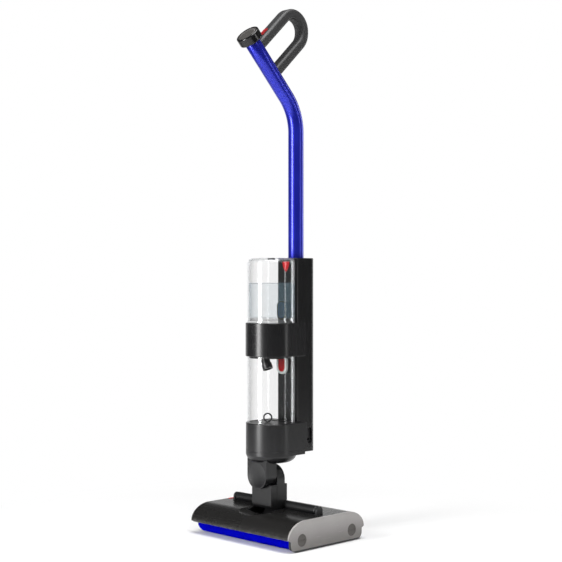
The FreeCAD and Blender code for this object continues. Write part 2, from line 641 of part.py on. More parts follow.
# ---- debris tray ---------------------------------------------------------------------
def make_debris_tray():
    x0, x1 = -SPIGOT_FACE, SPIGOT_FACE - TRAY_END_GAP
    floor = TRAY_FLOOR + TRAY_WALL
    inner_half = TRAY_HALF_WIDTH - TRAY_WALL
    outer = block(x0, x1, -TRAY_HALF_WIDTH, TRAY_HALF_WIDTH, TRAY_FLOOR, TRAY_TOP)
    inner = block(x0 + TRAY_WALL, x1 - TRAY_WALL, -inner_half, inner_half, floor, TRAY_TOP + THROUGH)
    middle = (x0 + x1) / 2
    long_edges = edges_where(inner, lambda c: same(c.z, floor) and same(c.x, middle))
    save("debris_tray", outer.cut(inner.makeFillet(TRAY_INNER_ROUND, long_edges)))
    mesh_z = TRAY_FLOOR + MESH_LIFT
    mesh = block(x0 + TRAY_WALL, x1 - TRAY_WALL, -inner_half, inner_half, mesh_z, mesh_z + MESH_THICKNESS)
    half_slot = inner_half - MESH_MARGIN
    x = x0 + MESH_PITCH
    while x + MESH_SLOT + TRAY_WALL < x1:
        mesh = mesh.cut(block(x, x + MESH_SLOT, -half_slot, half_slot, mesh_z - THROUGH,
                              mesh_z + MESH_THICKNESS + THROUGH))
        x += MESH_PITCH
    save("debris_mesh", mesh)


# ---- neck ----------------------------------------------------------------------------
def make_neck_yoke():
    axle = rod_x(AXLE_RADIUS, -AXLE_HALF_LENGTH, AXLE_HALF_LENGTH, 0, PITCH_HEIGHT)
    axle = axle.makeFillet(AXLE_END_ROUND, [e for e in axle.Edges if len(e.Vertexes) == 1])
    front = block(-NECK_HALF_WIDTH, NECK_HALF_WIDTH, NECK_FRONT, NECK_BLOCK_BACK,
                  NECK_BOTTOM, ROLL_HEIGHT - NECK_SHOULDER)
    front = front.makeFillet(NECK_CORNER, edges_where(front, lambda c: same(c.y, NECK_FRONT)
                                                      and same(c.z, NECK_BOTTOM)))
    front = front.cut(rod_y(KNUCKLE_RADIUS + SLIP_GAP, -FAR, ARM_FRONT, 0, ROLL_HEIGHT))
    arm = rod_y(ARM_RADIUS, ARM_FRONT, ARM_BACK, 0, ARM_CENTRE)
    arm = arm.fuse(block(-ARM_RADIUS, ARM_RADIUS, ARM_FRONT, ARM_BACK, NECK_BOTTOM, ARM_CENTRE))
    foot_half, foot_top = NECK_HALF_WIDTH + NECK_FOOT_EXTRA, PITCH_HEIGHT + NECK_FOOT_RISE
    foot = block(-foot_half, foot_half, NECK_FOOT_FRONT, NECK_FOOT_BACK, NECK_BOTTOM, foot_top)
    foot = foot.makeFillet(NECK_FOOT_ROUND, edges_where(foot, lambda c: same(c.z, foot_top)))
    yoke = axle.multiFuse([front, arm, foot]).removeSplitter()
    yoke = yoke.cut(rod_y(ROLL_PIN_RADIUS, -FAR, FAR, 0, ROLL_HEIGHT))
    bore = PITCH_PIN_RADIUS + RUN_GAP
    for side in (-1, 1):
        x0, x1 = sorted((side * (AXLE_HALF_LENGTH - PITCH_PIN_DEPTH - THROUGH), side * CRADLE_HALF))
        yoke = yoke.cut(rod_x(bore, x0, x1, 0, PITCH_HEIGHT))
    save("neck_yoke", yoke)
    pin = rod_y(ROLL_PIN_RADIUS, KNUCKLE_FRONT + KNUCKLE_SKIN + 1.0, ARM_BACK, 0, ROLL_HEIGHT)
    flange = rod_y(ROLL_PIN_RADIUS + ROLL_PIN_FLANGE, ARM_BACK, ARM_BACK + ROLL_PIN_FLANGE_DEPTH,
                   0, ROLL_HEIGHT)
    save("roll_pin", pin.fuse(flange))


# ---- body: neck cup and spine --------------------------------------------------------
def collar_blank(radius, back, z0, z1):
    """Round at the front about the tanks' axis, straight sides to the back."""
    drum = rod_z(radius, z0, z1, 0, TANK_AXIS_Y)
    return drum.fuse(block(-radius, radius, TANK_AXIS_Y, back, z0, z1)).removeSplitter()


def spine_blank(inset, y0, y1, z0, z1):
    """Upright bar with rounded corners; the whole spine is its y0 to y1 slice."""
    body = block(-SPINE_HALF_WIDTH + inset, SPINE_HALF_WIDTH - inset,
                 SPINE_FRONT + inset, SPINE_BACK - inset, z0, z1)
    middle = (SPINE_FRONT + SPINE_BACK) / 2
    body = round_upright_edges(body, SPINE_FRONT_CORNER - inset, lambda p: p.y < middle)
    body = round_upright_edges(body, SPINE_BACK_CORNER - inset, lambda p: p.y > middle)
    return body.common(block(-FAR, FAR, y0, y1, z0, z1))


def make_neck_cup():
    """Round bowl under the tanks, a shelf with the spine's foot, and the knuckle below."""
    foot_z = SHELF_TOP - SPINE_FOOT
    bowl = rod_z(COLLAR_RADIUS, SHELF_BOTTOM, SHELF_TOP, 0, TANK_AXIS_Y)
    bowl = bowl.makeFillet(BOWL_ROUND, edges_where(bowl, lambda c: same(c.z, SHELF_BOTTOM)))
    shelf = collar_blank(COLLAR_RADIUS, SPINE_FRONT + BOWL_BACK, foot_z, SHELF_TOP)
    foot = spine_blank(0, SPINE_FRONT, SPINE_BACK, foot_z, SHELF_TOP)
    web = block(-KNUCKLE_RADIUS, KNUCKLE_RADIUS, KNUCKLE_FRONT, KNUCKLE_BACK, ROLL_HEIGHT, foot_z - THROUGH)
    knuckle = rod_y(KNUCKLE_RADIUS, KNUCKLE_FRONT, KNUCKLE_BACK, 0, ROLL_HEIGHT)
    body = bowl.multiFuse([shelf, foot, web, knuckle]).removeSplitter()
    hollow_y = KNUCKLE_FRONT + KNUCKLE_HOLLOW_DEPTH - KNUCKLE_HOLLOW
    body = body.cut(Part.makeSphere(KNUCKLE_HOLLOW, vec(0, hollow_y, ROLL_HEIGHT)))
    bore = ROLL_PIN_RADIUS + RUN_GAP
    body = body.cut(rod_y(bore, KNUCKLE_FRONT + KNUCKLE_SKIN, KNUCKLE_BACK + THROUGH, 0, ROLL_HEIGHT))
    save("neck_cup", body)


def upright_pill(half_width, half_height, x0, x1, y, z):
    """Slab across X with round ends, standing on end."""
    straight = half_height - half_width
    slab = block(x0, x1, y - half_width, y + half_width, z - straight, z + straight)
    ends = [rod_x(half_width, x0, x1, y, z + s * straight) for s in (-1, 1)]
    return slab.multiFuse(ends).removeSplitter()


def pill_on_back(half_width, half_height, y0, y1, z):
    """Slab across Y with round ends, standing on end."""
    straight = half_height - half_width
    slab = block(-half_width, half_width, y0, y1, z - straight, z + straight)
    ends = [rod_y(half_width, y0, y1, 0, z + s * straight) for s in (-1, 1)]
    return slab.multiFuse(ends).removeSplitter()


def release_leaf(grow, y0, y1):
    """Leaf-shaped slab across Y, cut level at its top; grown all round by grow."""
    radius = (RELEASE_HALF_HEIGHT ** 2 + RELEASE_HALF_WIDTH ** 2) / (2 * RELEASE_HALF_WIDTH)
    centre_z = RELEASE_BOTTOM + RELEASE_HALF_HEIGHT
    offset = radius - RELEASE_HALF_WIDTH
    left, right = [rod_y(radius + grow, y0, y1, RELEASE_X + s * offset, centre_z) for s in (-1, 1)]
    top = RELEASE_BOTTOM + RELEASE_HEIGHT + grow
    return left.common(right).common(block(-FAR, FAR, y0, y1, 0, top))


def recess_cutter():
    return upright_pill(RECESS_HALF_WIDTH, RECESS_HALF_HEIGHT, SPINE_HALF_WIDTH - RECESS_DEPTH,
                        SPINE_HALF_WIDTH + THROUGH, RECESS_Y, RECESS_Z)


def make_spine():
    z0, z1 = SHELF_TOP, SPINE_CAP_Z
    outer = spine_blank(0, SPINE_FRONT, SPINE_BACK, z0, z1)
    inner = spine_blank(SPINE_WALL, SPINE_FRONT + SPINE_WALL, SPINE_BACK - SPINE_WALL,
                        z0 - THROUGH, z1 + THROUGH)
    shell = outer.cut(inner).cut(recess_cutter())
    half_gap = SPINE_SPLIT_GAP / 2
    front = shell.common(block(-FAR, FAR, 0, SPINE_SPLIT - half_gap, z0, z1))
    front = front.cut(release_leaf(SLIP_GAP, SPINE_FRONT - THROUGH, SPINE_FRONT + SPINE_WALL + THROUGH))
    rear = shell.common(block(-FAR, FAR, SPINE_SPLIT + half_gap, FAR, z0, z1))
    screws = []
    for step in SPINE_SCREW_STEPS:
        z = SHELF_TOP + step
        rear = rear.cut(rod_y(SCREW_RADIUS + SCREW_HOLE_GAP, SPINE_SPLIT, FAR, 0, z))
        shank = rod_y(SCREW_RADIUS, SPINE_BACK - SPINE_SCREW_LENGTH, SPINE_BACK + SPINE_SCREW_PROUD, 0, z)
        head = rod_y(SCREW_HEAD_RADIUS, SPINE_BACK, SPINE_BACK + SPINE_SCREW_PROUD, 0, z)
        screws.append(shank.fuse(head))
    save("spine_front", front)
    save("spine_rear", rear)
    save("spine_screws", Part.makeCompound(screws))


def make_charging_socket():
    floor_x = SPINE_HALF_WIDTH - RECESS_DEPTH
    jack_z = RECESS_Z - JACK_DROP
    cup = upright_pill(RECESS_HALF_WIDTH, RECESS_HALF_HEIGHT, floor_x,
                       SPINE_HALF_WIDTH - RECESS_SUNK, RECESS_Y, RECESS_Z)
    inside = upright_pill(RECESS_HALF_WIDTH - RECESS_WALL, RECESS_HALF_HEIGHT - RECESS_WALL,
                          floor_x + RECESS_WALL, SPINE_HALF_WIDTH + THROUGH, RECESS_Y, RECESS_Z)
    barrel = rod_x(JACK_RADIUS, floor_x - JACK_LENGTH, floor_x, RECESS_Y, jack_z)
    bore = rod_x(JACK_BORE, floor_x - JACK_LENGTH - THROUGH, floor_x + 2 * RECESS_WALL, RECESS_Y, jack_z)
    save("charging_socket", cup.cut(inside).fuse(barrel).cut(bore))


def make_spine_cap():
    cap = spine_blank(0, SPINE_FRONT, SPINE_BACK, SPINE_CAP_Z, SPINE_TOP)
    plug = spine_blank(SPINE_WALL + 0.1, SPINE_FRONT, SPINE_BACK, SPINE_CAP_Z - SPINE_CAP_PLUG, SPINE_CAP_Z)
    cap = cap.fuse(plug)
    cap = cap.makeFillet(SPINE_CAP_EDGE, edges_where(cap, lambda c: same(c.z, SPINE_TOP)))
    save("spine_cap", cap.cut(rod_z(TUBE_RADIUS, 0, SPINE_TOP + THROUGH, 0, TUBE_Y)))


def make_battery():
    pitch = CELL_RADIUS + CELL_GAP / 2
    offsets = [(dx, dy) for dx in (-pitch, pitch) for dy in (-pitch, pitch)]
    cells = []
    for layer in range(CELL_LAYERS):
        z = BATTERY_Z + layer * (CELL_LENGTH + CELL_GAP)
        cells += [rod_z(CELL_RADIUS, z, z + CELL_LENGTH, dx, TUBE_Y + dy) for dx, dy in offsets]
    save("battery_cells", Part.makeCompound(cells))
    half = 2 * CELL_RADIUS + CELL_GAP
    top = BATTERY_Z + CELL_LAYERS * (CELL_LENGTH + CELL_GAP)
    inside = block(-half, half, TUBE_Y - half, TUBE_Y + half, BATTERY_Z, top)
    outer_half = half + CASE_WALL
    outer = block(-outer_half, outer_half, TUBE_Y - outer_half, TUBE_Y + outer_half,
                  BATTERY_Z - CASE_WALL, top + CASE_WALL)
    save("battery_case", outer.cut(inside.cut(Part.makeCompound(cells)).fuse(cells)))


def make_water_works():
    """Two pumps one above the other, their hoses, and the control board behind them."""
    for name, rise in (("clean_pump", CLEAN_PUMP_RISE), ("dirty_pump", DIRTY_PUMP_RISE)):
        z = SHELF_TOP + rise
        head_z = z + PUMP_MOTOR_HEIGHT
        motor = rod_z(PUMP_RADIUS, z, head_z, 0, TUBE_Y)
        head = rod_z(PUMP_HEAD_RADIUS, head_z, head_z + PUMP_HEAD_HEIGHT, 0, TUBE_Y)
        spout = rod_y(PUMP_SPOUT_RADIUS, SPINE_FRONT + SPINE_WALL, TUBE_Y, 0, head_z + PUMP_HEAD_HEIGHT / 2)
        save(name, motor.multiFuse([head, spout]).removeSplitter())
    hoses = []
    for y in (TUBE_Y - HOSE_OFFSET, TUBE_Y + HOSE_OFFSET):
        outer = rod_z(HOSE_RADIUS, SHELF_TOP, BATTERY_Z - HOSE_SHORT, HOSE_X, y)
        hoses.append(outer.cut(rod_z(HOSE_RADIUS - HOSE_WALL, 0, BATTERY_Z, HOSE_X, y)))
    save("water_hoses", Part.makeCompound(hoses))
    front = TUBE_Y + BOARD_OFFSET
    bottom, top = SHELF_TOP + BOARD_RISE, BATTERY_Z - HOSE_SHORT
    board = block(-BOARD_HALF_WIDTH, BOARD_HALF_WIDTH, front, front + BOARD_THICKNESS, bottom, top)
    for k in range(CHIP_COUNT):
        z = bottom + CHIP_HEIGHT + CHIP_PITCH * k
        board = board.fuse(block(-CHIP_HALF_WIDTH, CHIP_HALF_WIDTH, front - CHIP_DEPTH, front,
                                 z, z + CHIP_HEIGHT))
    for x in (-STANDOFF_X, STANDOFF_X):
        for z in (bottom + STANDOFF_INSET, top - STANDOFF_INSET):
            board = board.fuse(rod_y(STANDOFF_RADIUS, front + BOARD_THICKNESS / 2,
                                     SPINE_BACK - SPINE_WALL, x, z))
    save("control_board", board.removeSplitter())


# ---- tube, display and handle --------------------------------------------------------
def bend_set_back():
    return BEND_RADIUS * math.tan(math.radians(BEND_ANGLE / 2))


def along_tube(distance, off=0.0):
    """Point at a distance from where the runs meet, set off towards the back and up."""
    a = math.radians(BEND_ANGLE)
    return (TUBE_Y - distance * math.sin(a) + off * math.cos(a),
            BEND_HEIGHT + distance * math.cos(a) + off * math.sin(a))


def tube_moves(bottom, end):
    return [(BEND_HEIGHT - bend_set_back() - bottom,), (BEND_RADIUS, BEND_ANGLE), (end - bend_set_back(),)]


def make_tube():
    face = disc_face(TUBE_RADIUS, TUBE_RADIUS - TUBE_WALL)
    save("main_tube", bar_along(face, TUBE_Y, TUBE_FOOT, 0, tube_moves(TUBE_FOOT, TUBE_END)))
    half = SPINE_HALF_WIDTH - SPINE_WALL - 0.2
    clamp = block(-half, half, TUBE_Y - CLAMP_FRONT, TUBE_Y + CLAMP_BACK, TUBE_FOOT - CLAMP_FLOOR,
                  RELEASE_BOTTOM - CLAMP_BELOW_RELEASE)
    clamp = clamp.cut(rod_z(TUBE_RADIUS, TUBE_FOOT, TUBE_FOOT + CLAMP_GRIP, 0, TUBE_Y))
    save("tube_clamp", clamp.cut(rod_z(CLAMP_WIRE_HOLE, 0, TUBE_FOOT + THROUGH, 0, TUBE_Y)))
    start = TUBE_FOOT + WIRE_START
    save("wire_harness", bar_along(disc_face(WIRE_RADIUS), TUBE_Y, start, 0, tube_moves(start, TUBE_END)))


def rod_along(radius, start, length):
    y, z = along_tube(start)
    return bar_along(disc_face(radius), y, z, BEND_ANGLE, [(length,)])


def make_display():
    body = rod_along(BEZEL_RADIUS, BEZEL_BACK, BEZEL_DEPTH)
    body = body.makeFillet(BEZEL_EDGE, [e for e in body.Edges if len(e.Vertexes) == 1])
    sleeve = rod_along(TUBE_RADIUS, BEZEL_BACK - THROUGH, BEZEL_OVERLAP + THROUGH)
    lens_start = BEZEL_BACK + BEZEL_DEPTH - LENS_SUNK
    recess = rod_along(LENS_RADIUS + LENS_GAP, lens_start, BEZEL_DEPTH)
    pocket = rod_along(LENS_RADIUS - DISPLAY_POCKET_INSET, BEZEL_BACK + BOARD_LIFT, BEZEL_DEPTH)
    save("display_bezel", body.cut(sleeve).cut(recess).cut(pocket))
    save("display_lens", rod_along(LENS_RADIUS, lens_start, LENS_THICKNESS))
    board = rod_along(LENS_RADIUS - DISPLAY_BOARD_INSET, BEZEL_BACK + BOARD_LIFT, LENS_THICKNESS)
    save("display_board", board)


def loop_face():
    half_x, half_t = LOOP_WIDTH / 2, LOOP_THICKNESS / 2
    bar = block(-half_x, half_x, -half_t, half_t, -1, 0)
    bar = round_upright_edges(bar, LOOP_CORNER, lambda p: True)
    return [f for f in bar.Faces if same(f.CenterOfMass.z, 0)][0]


def power_blank(gap, depth, proud):
    """Button on top of the upper arm; grown by gap and sunk by depth."""
    half = POWER_WIDTH / 2 + gap
    surface = LOOP_THICKNESS / 2
    body = block(-half, half, POWER_START - gap, POWER_START + POWER_LENGTH + gap,
                 surface - depth, surface + proud)
    body = round_upright_edges(body, POWER_CORNER, lambda p: True)
    body.rotate(vec(0, 0, 0), vec(1, 0, 0), BEND_ANGLE)
    y, z = along_tube(LOOP_TOP_ARM)
    body.translate(vec(0, y, z))
    return body


def make_loop_handle():
    y, z = along_tube(LOOP_TOP_ARM, LOOP_ROOT)
    turn_down = 90.0 + BEND_ANGLE
    turn_back = 180.0 - turn_down
    a, b = math.radians(turn_down), math.radians(turn_back)
    reach = LOOP_REACH - LOOP_ROOT
    return_run = (reach + LOOP_TOP_BEND * math.sin(a) + LOOP_LIMB * math.cos(a)
                  - LOOP_LOW_BEND * math.sin(b))
    moves = [(reach,), (LOOP_TOP_BEND, -turn_down), (LOOP_LIMB,), (LOOP_LOW_BEND, -turn_back), (return_run,)]
    loop = bar_along(loop_face(), y, z, BEND_ANGLE - 90.0, moves)
    loop = loop.cut(rod_along(TUBE_RADIUS, 0, TUBE_END)).cut(power_blank(POWER_GAP, POWER_WELL, LOOP_CORNER))
    save("handle_left", loop.common(block(-FAR, 0, -FAR, FAR, 0, 4 * FAR)))
    save("handle_right", loop.common(block(0, FAR, -FAR, FAR, 0, 4 * FAR)))
    save("power_button", power_blank(0, POWER_DEPTH, POWER_PROUD))


# ---- tanks ---------------------------------------------------------------------------
def tank_blank(inset, z0, z1):
    """Round tank with a flat back and rounded back corners."""
    drum = rod_z(TANK_RADIUS - inset, z0, z1, 0, TANK_AXIS_Y)
    back = TANK_BACK - inset
    drum = drum.common(block(-FAR, FAR, -FAR, back, z0, z1))
    return round_upright_edges(drum, TANK_CORNER - inset, lambda p: p.y > back - 1 and abs(p.x) > 1)


def domed(shape, radius, z):
    return shape.makeFillet(radius, edges_where(shape, lambda c: same(c.z, z)))


def make_clean_tank():
    z0, z1 = CLEAN_TANK_Z + TANK_SEAT, CLEAN_TANK_TOP
    outer = domed(tank_blank(0, z0, z1), CLEAN_DOME, z1)
    ceiling = z1 - TANK_WALL
    inner = domed(tank_blank(TANK_WALL, z0 - THROUGH, ceiling), CLEAN_DOME - TANK_WALL, ceiling)
    vent = rod_z(VENT_RADIUS, z0, z1 + THROUGH, 0, TANK_AXIS_Y)
    save("clean_tank_shell", outer.cut(inner).cut(vent))
    plug = rod_z(VENT_RADIUS, ceiling, z1, 0, TANK_AXIS_Y)
    flange = rod_z(VENT_RADIUS + VENT_FLANGE, ceiling - VENT_FLANGE_DEPTH, ceiling, 0, TANK_AXIS_Y)
    seat = pill_on_back(BUNG_HALF_WIDTH + BUNG_SEAT_RIM, BUNG_HALF_HEIGHT + BUNG_SEAT_RIM,
                        TANK_BACK, TANK_BACK + BUNG_SEAT_DEPTH, BUNG_Z)
    bung_hole = pill_on_back(BUNG_HALF_WIDTH + TANK_SEAT_GAP, BUNG_HALF_HEIGHT + TANK_SEAT_GAP,
                             TANK_BACK - THROUGH, SPINE_FRONT, BUNG_Z)
    save("tank_fittings", Part.makeCompound([plug.fuse(flange), seat.cut(bung_hole)]))
    bung = pill_on_back(BUNG_HALF_WIDTH, BUNG_HALF_HEIGHT, TANK_BACK, TANK_BACK + BUNG_DEPTH, BUNG_Z)
    save("filler_bung", bung)
    floor = tank_blank(-TANK_FLANGE, CLEAN_TANK_Z, z0)
    lip = tank_blank(TANK_WALL + TANK_SEAT_GAP, z0, z0 + TANK_LIP_HEIGHT)
    lip = lip.cut(tank_blank(2 * TANK_WALL, z0, z0 + TANK_LIP_HEIGHT + THROUGH))
    save("clean_tank_base", floor.fuse(lip))


def spine_notch(z0, z1):
    """Room for the spine at the back of a collar."""
    half = SPINE_HALF_WIDTH + SLIP_GAP
    return block(-half, half, SPINE_FRONT - SLIP_GAP, FAR, z0 - THROUGH, z1 + THROUGH)


def make_dirty_tank():
    z0, z1 = DIRTY_TANK_Z - TANK_SEAT, LID_Z + TANK_SEAT
    shell = tank_blank(0, z0, z1).cut(tank_blank(TANK_WALL, z0 - THROUGH, z1 + THROUGH))
    save("dirty_tank_shell", shell)
    base = collar_blank(COLLAR_RADIUS, COLLAR_BACK, DIRTY_BASE_Z, DIRTY_TANK_Z)
    base = domed(base, COLLAR_EDGE, DIRTY_TANK_Z)
    hollow = collar_blank(COLLAR_RADIUS - COLLAR_WALL, COLLAR_BACK + THROUGH, DIRTY_BASE_Z - THROUGH,
                          z0 - DIRTY_BASE_FLOOR)
    base = base.cut(hollow).cut(spine_notch(DIRTY_BASE_Z, DIRTY_TANK_Z))
    base = base.cut(tank_blank(-TANK_SEAT_GAP, z0, DIRTY_TANK_Z + THROUGH))
    plug = tank_blank(TANK_WALL + TANK_SEAT_GAP, z0, DIRTY_TANK_Z - DIRTY_PLUG_DROP)
    save("dirty_tank_base", base.fuse(plug).removeSplitter())
    facing_user = vec(0.6, -0.8, 0)
    ring_z = DIRTY_TANK_Z + DRAIN_RING_RADIUS + 1.0
    ring_centre = vec(DRAIN_RING_X, DRAIN_RING_Y, ring_z)
    ring = Part.makeTorus(DRAIN_RING_RADIUS, DRAIN_RING_WIRE, ring_centre, facing_user)
    floor_z = DIRTY_TANK_Z - DIRTY_PLUG_DROP
    stand = rod_z(DRAIN_STAND_RADIUS, floor_z, DIRTY_TANK_Z + DRAIN_STAND_HEIGHT, DRAIN_RING_X, DRAIN_RING_Y)
    save("drain_ring", ring.fuse(stand))


def make_lid_catch():
    """Red button and its pale frame, on the dirty tank's flat back."""
    frame = pill_on_back(LID_BUTTON_HALF_WIDTH + BUTTON_FRAME_RIM, LID_BUTTON_HALF_HEIGHT + BUTTON_FRAME_RIM,
                         TANK_BACK, TANK_BACK + BUTTON_FRAME_DEPTH, LID_BUTTON_Z)
    room = pill_on_back(LID_BUTTON_HALF_WIDTH + SLIP_GAP, LID_BUTTON_HALF_HEIGHT + SLIP_GAP,
                        TANK_BACK - THROUGH, SPINE_FRONT, LID_BUTTON_Z)
    save("lid_button_frame", frame.cut(room))
    y0, y1 = TANK_BACK + LID_BUTTON_TRAVEL + SLIP_GAP, TANK_BACK + LID_BUTTON_FRONT
    button = pill_on_back(LID_BUTTON_HALF_WIDTH, LID_BUTTON_HALF_HEIGHT, y0, y1, LID_BUTTON_Z)
    save("lid_button", button)


def make_dirty_lid():
    z0, z1 = LID_Z, LID_Z + LID_HEIGHT
    back = COLLAR_BACK - LID_BACK_INSET
    lid = collar_blank(COLLAR_RADIUS + LID_PROUD, back, z0, z1)
    lid = lid.makeFillet(LID_EDGE, edges_where(lid, lambda c: same(c.z, z0) or same(c.z, z1)))
    hollow = collar_blank(COLLAR_RADIUS - COLLAR_WALL, COLLAR_BACK - LID_HOLLOW_INSET,
                          z0 - THROUGH, z1 - LID_ROOF)
    hollow = hollow.cut(block(-FAR, FAR, SPINE_FRONT - COLLAR_WALL - 1.0, FAR, z0 - 2 * THROUGH, z1))
    save("dirty_tank_lid", lid.cut(spine_notch(z0, z1)).cut(hollow))
    plate_z = z0 + TANK_SEAT + 0.05
    plate = tank_blank(TANK_WALL + TANK_SEAT_GAP, z0 - TANK_SEAT, plate_z + 1.0)
    to_collar = COLLAR_WALL - COLLAR_STEP
    plate = plate.fuse(tank_blank(to_collar, plate_z, plate_z + LID_PLATE_THICKNESS))
    bore = rod_z(SPOUT_RADIUS - SPOUT_WALL, -SPOUT_LENGTH - THROUGH, SPOUT_LENGTH, 0, 0)
    tip = rod_z(SPOUT_RADIUS, -SPOUT_LENGTH, 0, 0, 0)
    tip = tip.fuse(rod_z(SPOUT_RADIUS + SPOUT_COLLAR, -SPOUT_LENGTH, -SPOUT_LENGTH + SPOUT_COLLAR_LENGTH, 0, 0))
    for piece in (tip, bore):
        piece.rotate(vec(0, 0, 0), vec(0, 1, 0), -SPOUT_TILT)
        piece.translate(vec(SPOUT_X, SPOUT_Y, z0 + SPOUT_ROOT))
    below = block(-FAR, FAR, -FAR, FAR, 0, z0 - TANK_SEAT)
    save("lid_plate", plate.cut(bore))
    save("inlet_spout", tip.common(below).cut(bore))


def make_release():
    leaf = release_leaf(0, SPINE_FRONT - RELEASE_PROUD, SPINE_FRONT + RELEASE_DEPTH)
    face_y = SPINE_FRONT - RELEASE_PROUD
    save("tank_release", leaf.makeFillet(RELEASE_EDGE, edges_where(leaf, lambda c: same(c.y, face_y))))


# ---- build ---------------------------------------------------------------------------
os.makedirs("parts", exist_ok=True)
make_head_cover()
make_axle_cradle()
make_pitch_pins()
make_head_chassis()
make_right_end()
make_left_end()
for roller_side, roller_name in ((-1, "front"), (1, "rear")):
    make_roller(roller_side, roller_name)
    make_brush(roller_side, roller_name)
    make_wet_bars(roller_side, roller_name)
make_debris_tray()
make_neck_yoke()
make_neck_cup()
make_spine()
make_charging_socket()
make_spine_cap()
make_battery()
make_water_works()
make_tube()
make_display()
make_loop_handle()
make_clean_tank()
make_dirty_tank()
make_lid_catch()
make_dirty_lid()
make_release()
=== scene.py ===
import bpy
import math
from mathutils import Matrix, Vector


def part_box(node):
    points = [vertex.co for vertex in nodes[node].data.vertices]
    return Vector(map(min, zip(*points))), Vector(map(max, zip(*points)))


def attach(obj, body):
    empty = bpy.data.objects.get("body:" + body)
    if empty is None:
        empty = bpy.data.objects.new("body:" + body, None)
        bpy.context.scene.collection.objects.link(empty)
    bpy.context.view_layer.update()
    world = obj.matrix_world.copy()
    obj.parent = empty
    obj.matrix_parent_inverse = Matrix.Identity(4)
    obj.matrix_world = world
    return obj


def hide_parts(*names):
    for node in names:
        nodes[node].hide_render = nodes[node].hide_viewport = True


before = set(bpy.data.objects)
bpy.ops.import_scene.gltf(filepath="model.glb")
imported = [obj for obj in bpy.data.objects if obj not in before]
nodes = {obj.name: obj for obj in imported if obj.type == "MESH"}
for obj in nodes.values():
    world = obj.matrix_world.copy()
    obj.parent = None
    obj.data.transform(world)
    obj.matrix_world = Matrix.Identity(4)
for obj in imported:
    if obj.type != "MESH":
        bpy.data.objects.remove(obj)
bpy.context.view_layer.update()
scene = bpy.context.scene
scene.view_settings.view_transform = "Standard"
scene.view_settings.look = "None"

# ---- Base plate and its screws ----------------------------------------------------------
# The plate under the head is moulded in black glass-filled nylon, and carries dust where it
# runs close to the floor. Six zinc-plated countersunk screws hold it up to the cover.


class Value:
    """One output of a node tree. Arithmetic on it adds Math nodes; make() adds any other node."""

    def __init__(self, tree, output):
        self.tree, self.output = tree, output

    def make(self, kind, settings=None, sockets=None, out=0):
        node = self.tree.nodes.new(kind)
        for key, value in (settings or {}).items():
            setattr(node, key, value)
        for key, value in (sockets or {}).items():
            if isinstance(value, Value):
                self.tree.links.new(value.output, node.inputs[key])
            else:
                node.inputs[key].default_value = value
        return Value(self.tree, node.outputs[out])

    def math(self, operation, first, second=0.0):
        return self.make("ShaderNodeMath", {"operation": operation}, {0: first, 1: second})

    def vector(self, operation, other, out=0):
        return self.make("ShaderNodeVectorMath", {"operation": operation}, {0: self, 1: other}, out)

    def __add__(self, other):
        return self.math("ADD", self, other)

    __radd__ = __add__

    def __mul__(self, other):
        return self.math("MULTIPLY", self, other)

    __rmul__ = __mul__

    def __sub__(self, other):
        return self.math("SUBTRACT", self, other)

    def __rsub__(self, other):
        return self.math("SUBTRACT", other, self)

    def __truediv__(self, other):
        return self.math("DIVIDE", self, other)

    def __pow__(self, other):
        return self.math("POWER", self, other)

    def size(self):
        return self.math("ABSOLUTE", self)

    def between(self, low, high):
        """0 at low, 1 at high, smooth in between."""
        return self.make("ShaderNodeMapRange", {"interpolation_type": "SMOOTHSTEP"},
                         {0: self, 1: low, 2: high, 3: 0.0, 4: 1.0})

    def noise(self, scale, detail=2.0, roughness=0.5):
        return self.make("ShaderNodeTexNoise", None, {
            "Vector": self, "Scale": scale, "Detail": detail, "Roughness": roughness})

    def stretched(self, x, y, z):
        return self.vector("MULTIPLY", (x, y, z))

    def axis(self, index):
        return self.make("ShaderNodeSeparateXYZ", None, {0: self}, out=index)

    def mix(self, first, second):
        """Colour mix, first where this value is 0 and second where it is 1."""
        return self.make("ShaderNodeMix", {"data_type": "RGBA"},
                         {0: self, 6: first, 7: second}, out=2)

    def bump(self, distance, strength=1.0):
        return self.make("ShaderNodeBump", None,
                         {"Height": self, "Distance": distance, "Strength": strength})


def new_material(name):
    """An empty material, its Principled shader and its Object coordinates."""
    material = bpy.data.materials.new(name)
    material.use_nodes = True
    tree = material.node_tree
    coords = tree.nodes.new("ShaderNodeTexCoord")
    return material, tree.nodes["Principled BSDF"], Value(tree, coords.outputs["Object"])


def feed(shader, **values):
    """Sets or links shader sockets; base_color stands for Base Color and so on."""
    for key, value in values.items():
        words = [w if w.isupper() else w.capitalize() for w in key.split("_")]
        socket = shader.inputs[" ".join(words)]
        if isinstance(value, Value):
            value.tree.links.new(value.output, socket)
        else:
            socket.default_value = value


def paint(material, *names):
    for name in names:
        slots = nodes[name].data.materials
        slots.clear()
        slots.append(material)


def shade(colour, by):
    return tuple(min(1.0, channel * by) for channel in colour) + (1.0,)


DUST = (0.20, 0.19, 0.175, 1.0)


